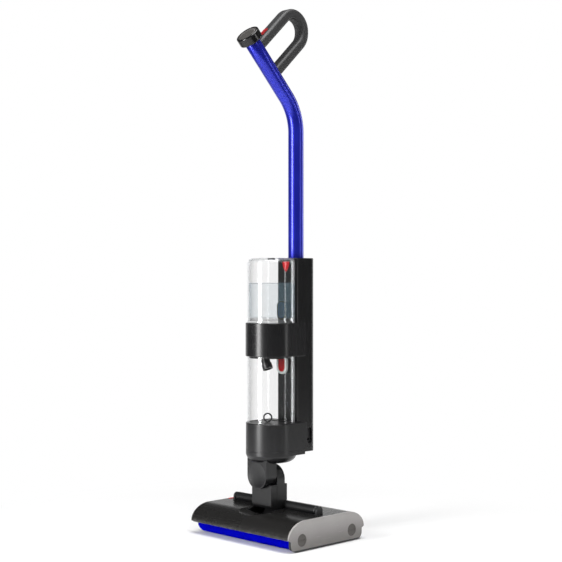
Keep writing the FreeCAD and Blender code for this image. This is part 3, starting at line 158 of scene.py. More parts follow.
def moulding(name, colour, roughness, cloud=0.15, grain=0.000012, dust_top=0.0):
    """Injection-moulded plastic: a fine spark-eroded grain, cloudy sheen from handling, long
    faint scratches, and dust that thins out up to the height dust_top."""
    material, shader, place = new_material(name)
    cloudy = place.noise(11.0, 4.0, 0.6)
    scratch = place.stretched(14.0, 260.0, 260.0).noise(1.0, 3.0).between(0.60, 0.66)
    fine = place.noise(1400.0, 2.0)
    colours = cloudy.mix(shade(colour, 1 - cloud), shade(colour, 1 + cloud))
    if dust_top:
        settled = 1.0 - place.axis(2).between(0.0, dust_top)
        settled = settled * place.noise(70.0, 5.0, 0.7).between(0.42, 0.75)
        colours = (settled * 0.5).mix(colours, DUST)
    feed(shader, base_color=colours, roughness=roughness + (cloudy - 0.5) * 0.12 + scratch * 0.05,
         normal=fine.bump(grain, 0.5))
    return material


def metal(name, colour, roughness, lay=(1.0, 1.0, 1.0)):
    """Bare metal with machining lines that run along the axis where lay is small."""
    material, shader, place = new_material(name)
    lines = place.stretched(*lay).noise(1600.0, 3.0)
    feed(shader, base_color=lines.mix(shade(colour, 0.8), shade(colour, 1.15)), metallic=1.0,
         roughness=roughness + lines * 0.18, normal=lines.bump(0.000006, 0.5))
    return material


base_nylon = moulding("base plate nylon", (0.018, 0.018, 0.019), 0.45, dust_top=0.02)
paint(base_nylon, "head_chassis")
zinc = metal("zinc-plated screws", (0.55, 0.56, 0.57), 0.26)
paint(zinc, "head_screws")

# ---- Debris drawer ----------------------------------------------------------------------
# A black tray catches what the brushes lift, under a slotted grey straining grid that lets
# the water through. Both are polypropylene, and stained by what they have carried.
STAIN_TOP = 0.03
tray_plastic = moulding("debris tray plastic", (0.024, 0.025, 0.026), 0.40, cloud=0.3,
                        dust_top=STAIN_TOP)
paint(tray_plastic, "debris_tray")
grid_plastic = moulding("straining grid plastic", (0.20, 0.21, 0.21), 0.5, cloud=0.25,
                        dust_top=STAIN_TOP)
paint(grid_plastic, "debris_mesh")

# ---- Roller cores and motors ------------------------------------------------------------
# Each roller is a grey polypropylene tube on a pin at its left end. A slim motor in an
# aluminium can sits inside it and turns the disc in its middle.
CORE_GREY = (0.19, 0.20, 0.21)
ROLLER_NAMES = ("front", "rear")
core_plastic = moulding("roller core plastic", CORE_GREY, 0.45)
motor_can = metal("motor can aluminium", (0.62, 0.63, 0.65), 0.25, lay=(1.0, 0.05, 0.05))
for roller in ROLLER_NAMES:
    paint(core_plastic, roller + "_roller_core")
    paint(motor_can, roller + "_roller_motor")

# ---- Microfibre sleeves -----------------------------------------------------------------
# A bright blue microfibre sleeve is drawn over each core. Its short tufts stand close
# together in rows on a woven backing, and lie over a little the way the roller turns.
SLEEVE_DEPTH = 0.0045                    # backing and pile together
SLEEVE_SIDES = 96
HEM = 0.0015
PILE_LENGTH = 0.0021
PILE_CLEAR = 0.85                        # share of the pile that stands out of the backing
TUFT_SHARE = 0.97                        # a tuft's length, as a share of the pile's
TUFT_BASE = 0.00105
TUFT_PITCH = 0.0018
TUFT_LEAN = 0.35


def mesh_object(name, vertices, faces, material):
    mesh = bpy.data.meshes.new(name)
    mesh.from_pydata(vertices, [], faces)
    mesh.update()
    mesh.shade_smooth()
    mesh.materials.append(material)
    piece = bpy.data.objects.new(name, mesh)
    bpy.context.scene.collection.objects.link(piece)
    return piece


def turned(name, profile, centre, material):
    """Piece of revolution about a line along X. The profile is a closed loop of (x, radius)."""
    count = len(profile)
    vertices = []
    for k in range(SLEEVE_SIDES):
        angle = 2 * math.pi * k / SLEEVE_SIDES
        vertices += [(x, centre[0] + r * math.cos(angle), centre[1] + r * math.sin(angle))
                     for x, r in profile]
    faces = []
    for k in range(SLEEVE_SIDES):
        here, there = k * count, (k + 1) % SLEEVE_SIDES * count
        for i in range(count):
            j = (i + 1) % count
            faces.append((here + i, here + j, there + j, there + i))
    return mesh_object(name, vertices, faces, material)


def node_tree(name, sizes):
    """An empty Geometry Nodes tree with one named input for each size and for the material."""
    tree = bpy.data.node_groups.new(name, "GeometryNodeTree")
    tree.interface.new_socket("Geometry", in_out="OUTPUT", socket_type="NodeSocketGeometry")
    identifiers = {}
    for label, kind in list(sizes.items()) + [("Material", "Material")]:
        socket = tree.interface.new_socket(label, in_out="INPUT",
                                           socket_type="NodeSocket" + kind)
        identifiers[label] = socket.identifier
    source = tree.nodes.new("NodeGroupInput")
    values = {label: Value(tree, source.outputs[label]) for label in identifiers}
    return tree, identifiers, values


def end_tree(tree, instances, material):
    """Turns the instances into one real mesh, coats it and hands it out."""
    real = instances.make("GeometryNodeRealizeInstances", None, {0: instances})
    coated = real.make("GeometryNodeSetMaterial", None, {"Geometry": real, "Material": material})
    sink = tree.nodes.new("NodeGroupOutput")
    tree.links.new(coated.output, sink.inputs["Geometry"])


def grown(name, tree, identifiers, settings):
    """Runs the tree once and keeps its result as a plain mesh."""
    carrier = bpy.data.objects.new(name + "_carrier", bpy.data.meshes.new(name + "_carrier"))
    bpy.context.scene.collection.objects.link(carrier)
    modifier = carrier.modifiers.new("grow", "NODES")
    modifier.node_group = tree
    for label, value in settings.items():
        modifier[identifiers[label]] = value
    carrier.update_tag()
    bpy.context.view_layer.update()
    evaluated = carrier.evaluated_get(bpy.context.evaluated_depsgraph_get())
    mesh = bpy.data.meshes.new_from_object(evaluated)
    mesh.name = name
    piece = bpy.data.objects.new(name, mesh)
    bpy.context.scene.collection.objects.link(piece)
    bpy.data.objects.remove(carrier)
    return piece


def tufted_cylinder():
    """Pointed tufts in rows round a line along X: used for the sleeves and for the brushes."""
    tree, identifiers, given = node_tree("tufted cylinder", {
        "Rows": "Int", "Per Row": "Int", "Radius": "Float", "Left": "Float", "Length": "Float",
        "Centre Y": "Float", "Centre Z": "Float", "Tuft Length": "Float", "Tuft Base": "Float",
        "Twist": "Float", "Lean": "Float", "Jitter": "Float", "Seed": "Int"})
    start = given["Rows"]                # any value of the tree can add a node to it
    grid = start.make("GeometryNodeMeshGrid", None, {
        "Size X": 1.0, "Size Y": 1.0, "Vertices X": given["Per Row"], "Vertices Y": given["Rows"]})
    where = start.make("GeometryNodeInputPosition")
    shift = start.make("FunctionNodeRandomValue", {"data_type": "FLOAT"},
                       {2: -0.5, 3: 0.5, "Seed": given["Seed"]}, 1)
    along = where.axis(0) + 0.5 + shift * given["Jitter"] / given["Per Row"]
    round_it = (where.axis(1) + 0.5 + shift * given["Jitter"] / given["Rows"]
                + along * given["Twist"])
    angle = round_it * (2 * math.pi) * (given["Rows"] - 1.0) / given["Rows"]
    outward_y, outward_z = start.math("COSINE", angle), start.math("SINE", angle)
    spot = start.make("ShaderNodeCombineXYZ", None, {
        0: given["Left"] + along * given["Length"],
        1: given["Centre Y"] + outward_y * given["Radius"],
        2: given["Centre Z"] + outward_z * given["Radius"]})
    points = grid.make("GeometryNodeSetPosition", None, {"Geometry": grid, "Position": spot})
    tuft = start.make("GeometryNodeMeshCone", {"fill_type": "NONE"},
                      {"Vertices": 3, "Radius Top": 0.0, "Radius Bottom": given["Tuft Base"],
                       "Depth": given["Tuft Length"]})
    here = start.make("GeometryNodeInputPosition")
    lean = given["Lean"] * (0.6 + start.make("FunctionNodeRandomValue", {"data_type": "FLOAT"},
                                             {2: 0.0, 3: 0.8, "Seed": given["Seed"] + 7}, 1))
    dy, dz = here.axis(1) - given["Centre Y"], here.axis(2) - given["Centre Z"]
    heading = start.make("ShaderNodeCombineXYZ", None, {0: shift * given["Radius"] * 0.4,
                                                        1: dy - dz * lean, 2: dz + dy * lean})
    turn = start.make("FunctionNodeAlignEulerToVector", {"axis": "Z"}, {"Vector": heading})
    scatter = points.make("GeometryNodeInstanceOnPoints", None,
                          {"Points": points, "Instance": tuft, "Rotation": turn})
    end_tree(tree, scatter, given["Material"])
    return tree, identifiers


def microfibre(name, dark, bright):
    material, shader, place = new_material(name)
    strand = place.noise(1300.0, 4.0, 0.7)
    worn = place.stretched(3.0, 30.0, 30.0).noise(1.0, 3.0).between(0.35, 0.75)
    feed(shader, base_color=(strand * 0.7 + worn * 0.3).mix(dark, bright), roughness=0.9,
         normal=strand.bump(0.0003))
    feed(shader, Specular_IOR_Level=0.04)
    return material


backing_blue = microfibre("blue sleeve backing", (0.0, 0.0, 0.20, 1), (0.0, 0.002, 0.5, 1))
pile_blue = microfibre("blue microfibre tufts", (0.0, 0.0, 0.42, 1), (0.0, 0.001, 0.75, 1))
tuft_tree, tuft_inputs = tufted_cylinder()
for number, roller in enumerate(ROLLER_NAMES):
    low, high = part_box(roller + "_roller_pile")
    middle = ((low[1] + high[1]) / 2, (low[2] + high[2]) / 2)
    outer = (high[2] - low[2]) / 2
    left, right = low[0], high[0]
    ground = outer - PILE_LENGTH * PILE_CLEAR
    inner = outer - SLEEVE_DEPTH
    profile = [(left, inner), (left, ground - HEM), (left + HEM, ground),
               (right - HEM, ground), (right, ground - HEM), (right, inner)]
    backing = turned(roller + "_sleeve_backing", profile, middle, backing_blue)
    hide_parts(roller + "_roller_pile")
    tufts = grown(roller + "_sleeve_tufts", tuft_tree, tuft_inputs, {
        "Rows": int(2 * math.pi * outer / TUFT_PITCH), "Per Row": int((right - left) / TUFT_PITCH),
        "Radius": outer - PILE_LENGTH, "Left": left + HEM, "Length": right - left - 2 * HEM,
        "Centre Y": middle[0], "Centre Z": middle[1], "Tuft Length": PILE_LENGTH * TUFT_SHARE,
        "Tuft Base": TUFT_BASE, "Twist": 0.5, "Lean": TUFT_LEAN, "Jitter": 0.5, "Seed": number,
        "Material": pile_blue})
    for piece in (backing, tufts):
        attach(piece, roller + "_roller")

# ---- Pick-up brushes --------------------------------------------------------------------
# Beside each roller a small brush turns the other way: black nylon bristles set in eight
# rows on a moulded spindle, which flick hair and crumbs up into the drawer.
BRISTLE_ROWS = 8
BRISTLE_PITCH = 0.0017
BRISTLE_BASE = 0.0005
BRISTLE_FROM = 0.5                       # where a bristle starts, as a share of the reach
BRISTLE_SHARE = 0.48                     # and its length
BARE_END = 0.008
spindle_nylon = moulding("brush spindle nylon", (0.03, 0.03, 0.032), 0.42)
bristle_nylon = moulding("brush bristles", (0.05, 0.05, 0.055), 0.38, cloud=0.3)
for roller in ROLLER_NAMES:
    paint(spindle_nylon, roller + "_pickup_brush")
    low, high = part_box(roller + "_pickup_brush")
    reach = (high[2] - low[2]) / 2
    covered = high[0] - low[0] - 2 * BARE_END
    bristles = grown(roller + "_brush_bristles", tuft_tree, tuft_inputs, {
        "Rows": BRISTLE_ROWS, "Per Row": int(covered / BRISTLE_PITCH),
        "Radius": reach * BRISTLE_FROM, "Left": low[0] + BARE_END, "Length": covered,
        "Centre Y": (low[1] + high[1]) / 2, "Centre Z": (low[2] + high[2]) / 2,
        "Tuft Length": reach * BRISTLE_SHARE, "Tuft Base": BRISTLE_BASE, "Twist": 0.0,
        "Lean": 0.05, "Jitter": 0.25, "Seed": 3, "Material": bristle_nylon})
    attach(bristles, roller + "_brush")

# ---- Squeeze and spray bars -------------------------------------------------------------
# A stainless bar presses dirty water out of each pile, and a grey pipe with nine small
# holes wets it again. They are pushed into the end caps.
bar_steel = metal("stainless squeeze bar", (0.6, 0.6, 0.61), 0.18, lay=(0.05, 1.0, 1.0))
pipe_plastic = moulding("spray pipe plastic", CORE_GREY, 0.4)
for roller in ROLLER_NAMES:
    paint(bar_steel, roller + "_squeeze_bar")
    paint(pipe_plastic, roller + "_spray_bar")

# ---- Head cover and axle cradle ---------------------------------------------------------
# The cover is one black ABS moulding with a polished, slightly lacquered skin, and dust on
# its lips. A matt cradle for the neck's axle is welded into it from below.
cover_gloss, cover_shader, cover_place = new_material("satin black cover lacquer")
haze = cover_place.noise(7.0, 4.0, 0.6)
wipe = cover_place.stretched(9.0, 330.0, 330.0).noise(1.0, 3.0).between(0.58, 0.66)
lip_dust = 1.0 - cover_place.axis(2).between(0.024, 0.042)
lip_dust = lip_dust * cover_place.noise(90.0, 5.0, 0.7).between(0.4, 0.8)
cover_black = haze.mix((0.0075, 0.0073, 0.0071, 1), (0.011, 0.0105, 0.010, 1))
feed(cover_shader, base_color=(lip_dust * 0.3).mix(cover_black, DUST),
     roughness=0.27 + (haze - 0.5) * 0.1 + wipe * 0.05,
     normal=cover_place.noise(900.0, 2.0).bump(0.000008, 0.4))
paint(cover_gloss, "head_cover")
paint(moulding("matt cradle plastic", (0.013, 0.013, 0.014), 0.45), "axle_cradle")

# ---- Drawer latch -----------------------------------------------------------------------
# A glossy red button near the left end of the cover frees the drawer. It is moulded in one
# piece, in the red that the tank's leaf and the lid's button are moulded in too.
latch_red = moulding("glossy red button plastic", (0.60, 0.006, 0.010), 0.22, cloud=0.05)
paint(latch_red, "tray_latch")

# ---- End caps ---------------------------------------------------------------------------
# Both ends are closed by a warm grey moulded cap with a fine satin texture. Its grey is
# painted darker towards the bottom and lighter towards the top: painted shade and painted
# light from the lamps. The boss behind its face is left in shadow grey, and a dark wear strip
# runs along the bottom edge. The left one belongs to the drawer and is dark except for its
# outer face.
# A shaded and a lit copy of the cap's warm grey: painted shade low down, painted light high up.
CAP_GREY_SHADED_AND_LIT = ((0.175, 0.165, 0.158, 1), (0.395, 0.378, 0.372, 1))
CAP_SHADE = (0.008, 0.008, 0.009, 1)
SCUFF = (0.5, 0.49, 0.47, 1)
CAP_FACE_FROM = 0.1462
LEFT_FACE_FROM = 0.1495
CAP_SHADED_FOOT, CAP_LIT_TOP = 0.004, 0.060
LIP_FROM = (0.1488, 0.1494)              # the cap's outer lip, below LIP_TOP, stays dark
LIP_TOP = (0.0265, 0.0275)


def end_cap(name, face_from, strip_top):
    """Warm grey where the distance from the middle is past face_from, and dark behind it."""
    material, shader, place = new_material(name)
    height = place.axis(2)
    face = place.axis(0).size().between(face_from, face_from + 0.0003)
    # Painted shade and light: the grey rises from its shaded copy at the foot to its lit copy near
    # the top.
    painted_light_rise = height.between(CAP_SHADED_FOOT, CAP_LIT_TOP)
    cloudy = place.noise(26.0, 4.0, 0.6)
    scuff = place.stretched(260.0, 20.0, 260.0).noise(1.0, 3.0).between(0.62, 0.68)
    strip = height.between(strip_top, strip_top + 0.0006)
    grey = (painted_light_rise * 0.85 + (cloudy - 0.5) * 0.2).mix(*CAP_GREY_SHADED_AND_LIT)
    grey = (scuff * 0.12).mix(grey, SCUFF)
    low_side = (1.0 - place.axis(0).size().between(*LIP_FROM)) * (1.0 - height.between(*LIP_TOP))
    feed(shader, base_color=(face * strip * (1.0 - low_side)).mix(CAP_SHADE, grey),
         roughness=0.42 + (cloudy - 0.5) * 0.1,
         normal=place.noise(1500.0, 2.0).bump(0.00002, 0.6))
    return material


paint(end_cap("right end cap plastic", CAP_FACE_FROM, 0.0042), "right_end_cap")
paint(end_cap("left end cap plastic", LEFT_FACE_FROM, 0.0075), "left_end_cap")

# ---- Hub caps ---------------------------------------------------------------------------
# Dark taupe discs clip into the end caps over the roller axes. A coin slot is sunk across
# each, and the face has a fine grain.
hub, hub_shader, hub_place = new_material("dark taupe hub plastic")
hub_grain = hub_place.stretched(0.0, 1.0, 1.0)
swirl = hub_place.noise(60.0, 4.0, 0.6)
feed(hub_shader, base_color=swirl.mix((0.060, 0.053, 0.048, 1), (0.085, 0.076, 0.070, 1)),
     roughness=0.38 + swirl * 0.12, normal=hub_grain.noise(1200.0, 2.0).bump(0.00002, 0.6))
paint(hub, "right_hub_caps", "left_hub_caps")

# ---- Neck -------------------------------------------------------------------------------
# The neck is a solid-walled block of black glass-filled nylon. It tips on steel pins in the
# cradle and carries the cup on a steel pin with a flanged head.
neck_nylon = moulding("neck block nylon", (0.0065, 0.0065, 0.007), 0.38, grain=0.00002)
pin_steel = metal("ground steel pins", (0.58, 0.58, 0.59), 0.2, lay=(0.3, 0.3, 1.0))
paint(neck_nylon, "neck_yoke")
paint(pin_steel, "pitch_pins", "roll_pin")

# ---- Neck cup, spine and dirty tank's base ----------------------------------------------
# The cup, the spine's shells and cap, and the dirty tank's base are black ABS with a satin
# skin, glossier where hands hold them. Zinc-plated screws close the spine from behind.
body_black = (0.0065, 0.0065, 0.0072)


def satin(name, colour, roughness, polish=0.06):
    """Satin ABS: faint vertical flow lines from the mould, and patches polished by handling."""
    material, shader, place = new_material(name)
    flow = place.stretched(60.0, 60.0, 4.0).noise(1.0, 3.0)
    handled = place.noise(6.0, 3.0, 0.6).between(0.4, 0.7)
    speck = place.noise(420.0, 4.0, 0.8).between(0.70, 0.74)
    flowed = flow.mix(shade(colour, 0.9), shade(colour, 1.12))
    feed(shader, base_color=(speck * 0.18).mix(flowed, DUST),
         roughness=roughness - handled * polish + speck * 0.2,
         normal=place.noise(1100.0, 2.0).bump(0.00001, 0.5))
    return material


collar_skin = satin("satin black collar plastic", body_black, 0.32)
paint(collar_skin, "neck_cup", "dirty_tank_base")
spine_skin = satin("satin black spine plastic", (0.0055, 0.0055, 0.006), 0.26)
paint(spine_skin, "spine_front", "spine_rear", "spine_cap")
paint(zinc, "spine_screws")
paint(moulding("charging recess plastic", (0.006, 0.006, 0.007), 0.5), "charging_socket")

# ---- Inside the spine -------------------------------------------------------------------
# Wrapped lithium cells in a grey tray, two pumps, pale silicone hoses, a dark grey plastic
# clamp for the tube, sleeved wires, and green lacquered boards with copper under the mask.
WRAP_BLUE, WRAP_WEAVE = (0.012, 0.05, 0.26, 1), (0.02, 0.075, 0.36, 1)
wrap, wrap_shader, wrap_place = new_material("cell shrink wrap")
wrinkle = wrap_place.stretched(40.0, 400.0, 400.0).noise(1.0, 4.0)
feed(wrap_shader, base_color=wrinkle.mix(WRAP_BLUE, WRAP_WEAVE), roughness=0.25 + wrinkle * 0.15,
     normal=wrinkle.bump(0.00015))
paint(wrap, "battery_cells")
paint(moulding("battery tray plastic", CORE_GREY, 0.5), "battery_case")
paint(moulding("pump housing plastic", (0.16, 0.17, 0.18), 0.38), "clean_pump", "dirty_pump")
paint(moulding("tube clamp plastic", (0.12, 0.12, 0.13), 0.4), "tube_clamp")
hose, hose_shader, hose_place = new_material("silicone hose")
bloom = hose_place.stretched(300.0, 300.0, 20.0).noise(1.0, 3.0)
feed(hose_shader, base_color=bloom.mix((0.42, 0.44, 0.45, 1), (0.55, 0.57, 0.57, 1)),
     roughness=0.3 + bloom * 0.15)
paint(hose, "water_hoses")
wire, wire_shader, wire_place = new_material("wire harness sleeving")
braid = wire_place.stretched(900.0, 900.0, 900.0).noise(1.0, 1.0)
feed(wire_shader, base_color=braid.mix((0.010, 0.010, 0.011, 1), (0.04, 0.04, 0.045, 1)),
     roughness=0.6, normal=braid.bump(0.0003))
paint(wire, "wire_harness")
board, board_shader, board_place = new_material("circuit board lacquer")
tracks = board_place.stretched(330.0, 330.0, 40.0).noise(1.0, 0.0).between(0.52, 0.54)
feed(board_shader, base_color=tracks.mix((0.008, 0.085, 0.03, 1), (0.03, 0.2, 0.07, 1)),
     roughness=0.3, normal=tracks.bump(0.00005))
paint(board, "control_board", "display_board")

# ---- Bent tube --------------------------------------------------------------------------
# A drawn aluminium tube, bent cold, then sprayed with a deep blue metallic lacquer under a
# clear coat. The flake is fine, and the lacquer pools a little deeper in places.
tube_blue, tube_shader, tube_place = new_material("blue metallic lacquer")
flake = tube_place.noise(2600.0, 1.0)
pooling = tube_place.noise(9.0, 3.0)
TUBE_DEEP, TUBE_BRIGHT = (0.0, 0.0, 0.26, 1), (0.03, 0.05, 0.80, 1)
feed(tube_shader, base_color=(flake * 0.06 + pooling * 0.6).mix(TUBE_DEEP, TUBE_BRIGHT),
     metallic=0.65, roughness=0.27 + pooling * 0.05)
feed(tube_shader, Coat_Weight=0.5, Coat_Roughness=0.2)
BEND = math.radians(43.7)
BEND_RADIUS = 0.110
MEET_Y, MEET_Z = 0.059, 0.916            # where the two straight runs would meet
TUBE_TOP = 0.197                         # the tube's end, from there
TUBE_OUTER = 0.017
TUBE_WALL = 0.0016
LIP = 0.0006                             # the rounded edge at each end
TUBE_SIDES = 96
ARC_STEPS = 48
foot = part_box("main_tube")[0][2]
to_bend = BEND_RADIUS * math.tan(BEND / 2)
arc_length = BEND_RADIUS * BEND
bend_starts = MEET_Z - to_bend - foot
tube_length = bend_starts + arc_length + TUBE_TOP - to_bend


def on_tube(along):
    """Middle of the tube at this length from its foot, and how far it has turned."""
    turned_by = min(max(along - bend_starts, 0.0), arc_length) / BEND_RADIUS
    z = foot + min(along, bend_starts) + BEND_RADIUS * math.sin(turned_by)
    y = MEET_Y - BEND_RADIUS * (1 - math.cos(turned_by))
    beyond = max(along - bend_starts - arc_length, 0.0)
    return y - beyond * math.sin(turned_by), z + beyond * math.cos(turned_by), turned_by


outside = [LIP, 0.1, 0.2] + [bend_starts + arc_length * k / ARC_STEPS for k in range(ARC_STEPS + 1)]
outside += [tube_length - 0.06, tube_length - LIP]
loop = [(along, TUBE_OUTER) for along in outside]
loop += [(tube_length, TUBE_OUTER - LIP), (tube_length, TUBE_OUTER - TUBE_WALL + LIP)]
loop += [(along, TUBE_OUTER - TUBE_WALL) for along in reversed(outside)]
loop += [(0.0, TUBE_OUTER - TUBE_WALL + LIP), (0.0, TUBE_OUTER - LIP)]
vertices, faces = [], []
for along, radius in loop:
    y, z, tilt = on_tube(along)
    for k in range(TUBE_SIDES):
        angle = 2 * math.pi * k / TUBE_SIDES
        across = radius * math.sin(angle)
        vertices.append((radius * math.cos(angle), y + across * math.cos(tilt),
                         z + across * math.sin(tilt)))
for ring in range(len(loop)):
    here, there = ring * TUBE_SIDES, (ring + 1) % len(loop) * TUBE_SIDES
    for k in range(TUBE_SIDES):
        j = (k + 1) % TUBE_SIDES
        faces.append((here + k, here + j, there + j, there + k))
tube = mesh_object("bent_tube", vertices, faces, tube_blue)
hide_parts("main_tube")
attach(tube, "main_body")

# ---- Display ----------------------------------------------------------------------------
# A gloss black ring holds a smoked window at the end of the tube. A thin pale arc of unlit
# segments shows through the window.
ARC_RADIUS = 0.0175
ARC_WIDTH = 0.0005
ARC_FADES = (0.004, 0.002)               # it fades out this far below the window's middle
bezel_plastic = moulding("gloss black bezel plastic", (0.005, 0.005, 0.0055), 0.16, cloud=0.05)
paint(bezel_plastic, "display_bezel")
lens_middle = tuple((a + b) / 2 for a, b in zip(*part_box("display_lens")))
lens, lens_shader, lens_place = new_material("smoked display window")
from_middle = lens_place.vector("SUBTRACT", lens_middle).vector("LENGTH", (0, 0, 0), out=1)
arc = 1.0 - (from_middle - ARC_RADIUS).size().between(ARC_WIDTH, ARC_WIDTH * 2)
arc = arc * lens_place.axis(2).between(*(lens_middle[2] - drop for drop in ARC_FADES))
smear = lens_place.noise(45.0, 4.0, 0.6)
smoked = smear.mix((0.045, 0.043, 0.041, 1), (0.058, 0.055, 0.052, 1))
feed(lens_shader, base_color=arc.mix(smoked, (0.17, 0.165, 0.16, 1)),
     roughness=0.14 + smear * 0.12)
paint(lens, "display_lens")

# ---- Loop handle ------------------------------------------------------------------------
# Two halves moulded in a soft-touch dark grey meet on a fine parting line down the middle.
# The skin is matt, with a leather-like grain, and is worn smoother under the palm.
grip, grip_shader, grip_place = new_material("soft-touch grip")
pebble = grip_place.make("ShaderNodeTexVoronoi", {"feature": "SMOOTH_F1"},
                         {"Vector": grip_place, "Scale": 900.0})
worn = grip_place.noise(14.0, 3.0).between(0.45, 0.7)
parting = 1.0 - grip_place.axis(0).size().between(0.0002, 0.0005)
grip_grey = worn.mix((0.022, 0.022, 0.023, 1), (0.030, 0.030, 0.031, 1))
feed(grip_shader, base_color=(parting * 0.6).mix(grip_grey, (0.01, 0.01, 0.01, 1)),
     roughness=0.52 - worn * 0.1, normal=(pebble * 0.3 - parting * 3.0).bump(0.00001, 0.4))
paint(grip, "handle_left", "handle_right")

# ---- Buttons ----------------------------------------------------------------------------
# The leaf that frees the clean tank and the lid's button are the same glossy red as the
# drawer latch. The power button is a darker red, and the lid's sits in a pale grey frame.
paint(latch_red, "tank_release", "lid_button")
dark_red = moulding("dark red power button plastic", (0.30, 0.010, 0.012), 0.3, cloud=0.05)
paint(dark_red, "power_button")
pale_frame = moulding("pale button frame plastic", (0.56, 0.60, 0.58), 0.4, cloud=0.03)
paint(pale_frame, "lid_button_frame")

# ---- Dirty tank -------------------------------------------------------------------------
# A black spout rises inside the clear lower tank under a black lid, and a small drain ring
# stands on a foot on its floor. All are ABS. Two very faint rings mark the lid's front.
lid_skin, lid_shader, lid_place = new_material("satin black lid plastic")
RING_MARKS = ((0.4449, 0.0105), (0.4103, 0.0065))    # height of the middle, and radius
RING_X = 0.008
RING_WIDTH = 0.0003
LID_FRONT = (-0.060, -0.058)
front = 1.0 - lid_place.axis(1).between(*LID_FRONT)
marks = None
for ring_height, ring_radius in RING_MARKS:
    away = lid_place.vector("SUBTRACT", (RING_X, 0.0, ring_height)).stretched(1.0, 0.0, 1.0)
    away = away.vector("LENGTH", (0, 0, 0), out=1)
    ring = 1.0 - (away - ring_radius).size().between(RING_WIDTH, RING_WIDTH * 2)
    marks = ring if marks is None else marks + ring
lid_flow = lid_place.stretched(60.0, 60.0, 4.0).noise(1.0, 3.0)
lid_black = lid_flow.mix(shade(body_black, 0.9), shade(body_black, 1.12))
feed(lid_shader, base_color=(marks * front * 0.6).mix(lid_black, (0.05, 0.05, 0.052, 1)),
     roughness=0.27 + (lid_flow - 0.5) * 0.05,
     normal=lid_place.noise(1100.0, 2.0).bump(0.00001, 0.5))
paint(lid_skin, "dirty_tank_lid")
inner_black = moulding("tank fittings plastic", (0.016, 0.016, 0.017), 0.36, cloud=0.2)
paint(inner_black, "lid_plate", "inlet_spout", "drain_ring")

# ---- Clear tank walls -------------------------------------------------------------------
# Both tanks are blown from clear copolyester in a polished mould. Face on, a wall nearly
# vanishes. Seen along its surface it turns grey.


def clear_plastic(name, face_on, along):
    """Clear plastic: face_on is how much it covers from straight ahead, along adds at edges."""
    material, shader, place = new_material(name)
    edge_on = place.make("ShaderNodeLayerWeight", None, {"Blend": 0.5}, out=1)
    smudge = place.stretched(1.0, 1.0, 0.4).noise(16.0, 5.0, 0.7).between(0.5, 0.8)
    feed(shader, base_color=edge_on.mix((0.95, 0.96, 0.97, 1), (0.62, 0.64, 0.66, 1)),
         roughness=0.10 + smudge * 0.06, alpha=face_on + smudge * 0.01 + edge_on ** 3.0 * along,
         metallic=1.0 - edge_on.between(0.5, 0.95))
    return material


tank_clear = clear_plastic("clear tank plastic", 0.03, 0.75)
paint(tank_clear, "clean_tank_shell", "dirty_tank_shell")
paint(clear_plastic("clear tank base plastic", 0.16, 0.7), "clean_tank_base")
paint(moulding("bung seat and vent plastic", (0.012, 0.012, 0.013), 0.35), "tank_fittings")
rubber, rubber_shader, rubber_place = new_material("soft blue bung rubber")
talc = rubber_place.noise(60.0, 5.0, 0.7).between(0.4, 0.8)
feed(rubber_shader, base_color=(talc * 0.2).mix((0.008, 0.10, 0.92, 1), (0.05, 0.18, 0.95, 1)),
     roughness=0.5 + talc * 0.15, normal=rubber_place.noise(1300.0, 2.0).bump(0.00003, 0.6))
paint(rubber, "filler_bung")

# ---- Clean water ------------------------------------------------------------------------
# The clean tank stands a little over half full. The water fills the tank's inner outline and
# climbs a little where it meets the walls.
WATER_TOP = 0.543
WATER_GAP = 0.0006
WATER_CLIMB = 0.0012
WALL = 0.0022
BACK_CORNER = 0.010
CORNER_STEPS = 8
low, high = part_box("clean_tank_shell")
round_radius = (high[0] - low[0]) / 2 - WALL - WATER_GAP
round_y = low[1] + (high[0] - low[0]) / 2
back_y = high[1] - WALL - WATER_GAP
water_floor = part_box("clean_tank_base")[1][2] + WATER_GAP


def tank_outline(radius, inset, sides=40):
    """Half circle in front, straight sides, and a flat back with two round corners."""
    back, corner = back_y - inset, BACK_CORNER - inset
    angles = [math.pi * k / sides for k in range(sides + 1)]
    line = [(radius * math.cos(a), round_y - radius * math.sin(a)) for a in angles]
    for side, start in ((-1, math.pi), (1, math.pi / 2)):
        for k in range(CORNER_STEPS + 1):
            angle = start - k * math.pi / 2 / CORNER_STEPS
            line.append((side * (radius - corner) + corner * math.cos(angle),
                         back - corner + corner * math.sin(angle)))
    return line


# Each level's height, and how far it is drawn in from the wall.
levels = [(water_floor, 0.004), (water_floor + 0.0008, 0.001), (water_floor + 0.003, 0.0),
          (WATER_TOP - 0.004, 0.0), (WATER_TOP + WATER_CLIMB, 0.0), (WATER_TOP + 0.0003, 0.0010),
          (WATER_TOP, 0.003)]
vertices, faces = [], []
for z, inset in levels:
    vertices += [(x, y, z) for x, y in tank_outline(round_radius - inset, inset)]
count = len(vertices) // len(levels)
for ring in range(len(levels) - 1):
    for k in range(count):
        j = (k + 1) % count
        faces.append((ring * count + k, (ring + 1) * count + k,
                      (ring + 1) * count + j, ring * count + j))
faces.append(tuple(range(count)))
faces.append(tuple(reversed(range((len(levels) - 1) * count, len(levels) * count))))
water_look, water_shader, water_place = new_material("clean water")
water_edge = water_place.make("ShaderNodeLayerWeight", None, {"Blend": 0.4}, out=1)
ripple = water_place.noise(30.0, 2.0)
feed(water_shader, base_color=water_edge.mix((0.25, 0.37, 0.43, 1), (0.22, 0.30, 0.36, 1)),
     roughness=0.03 + ripple * 0.04, alpha=0.12 + water_edge ** 2.0 * 0.3,
     normal=ripple.bump(0.0003, 0.3))
water = mesh_object("clean_water", vertices, faces, water_look)
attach(water, "clean_tank")

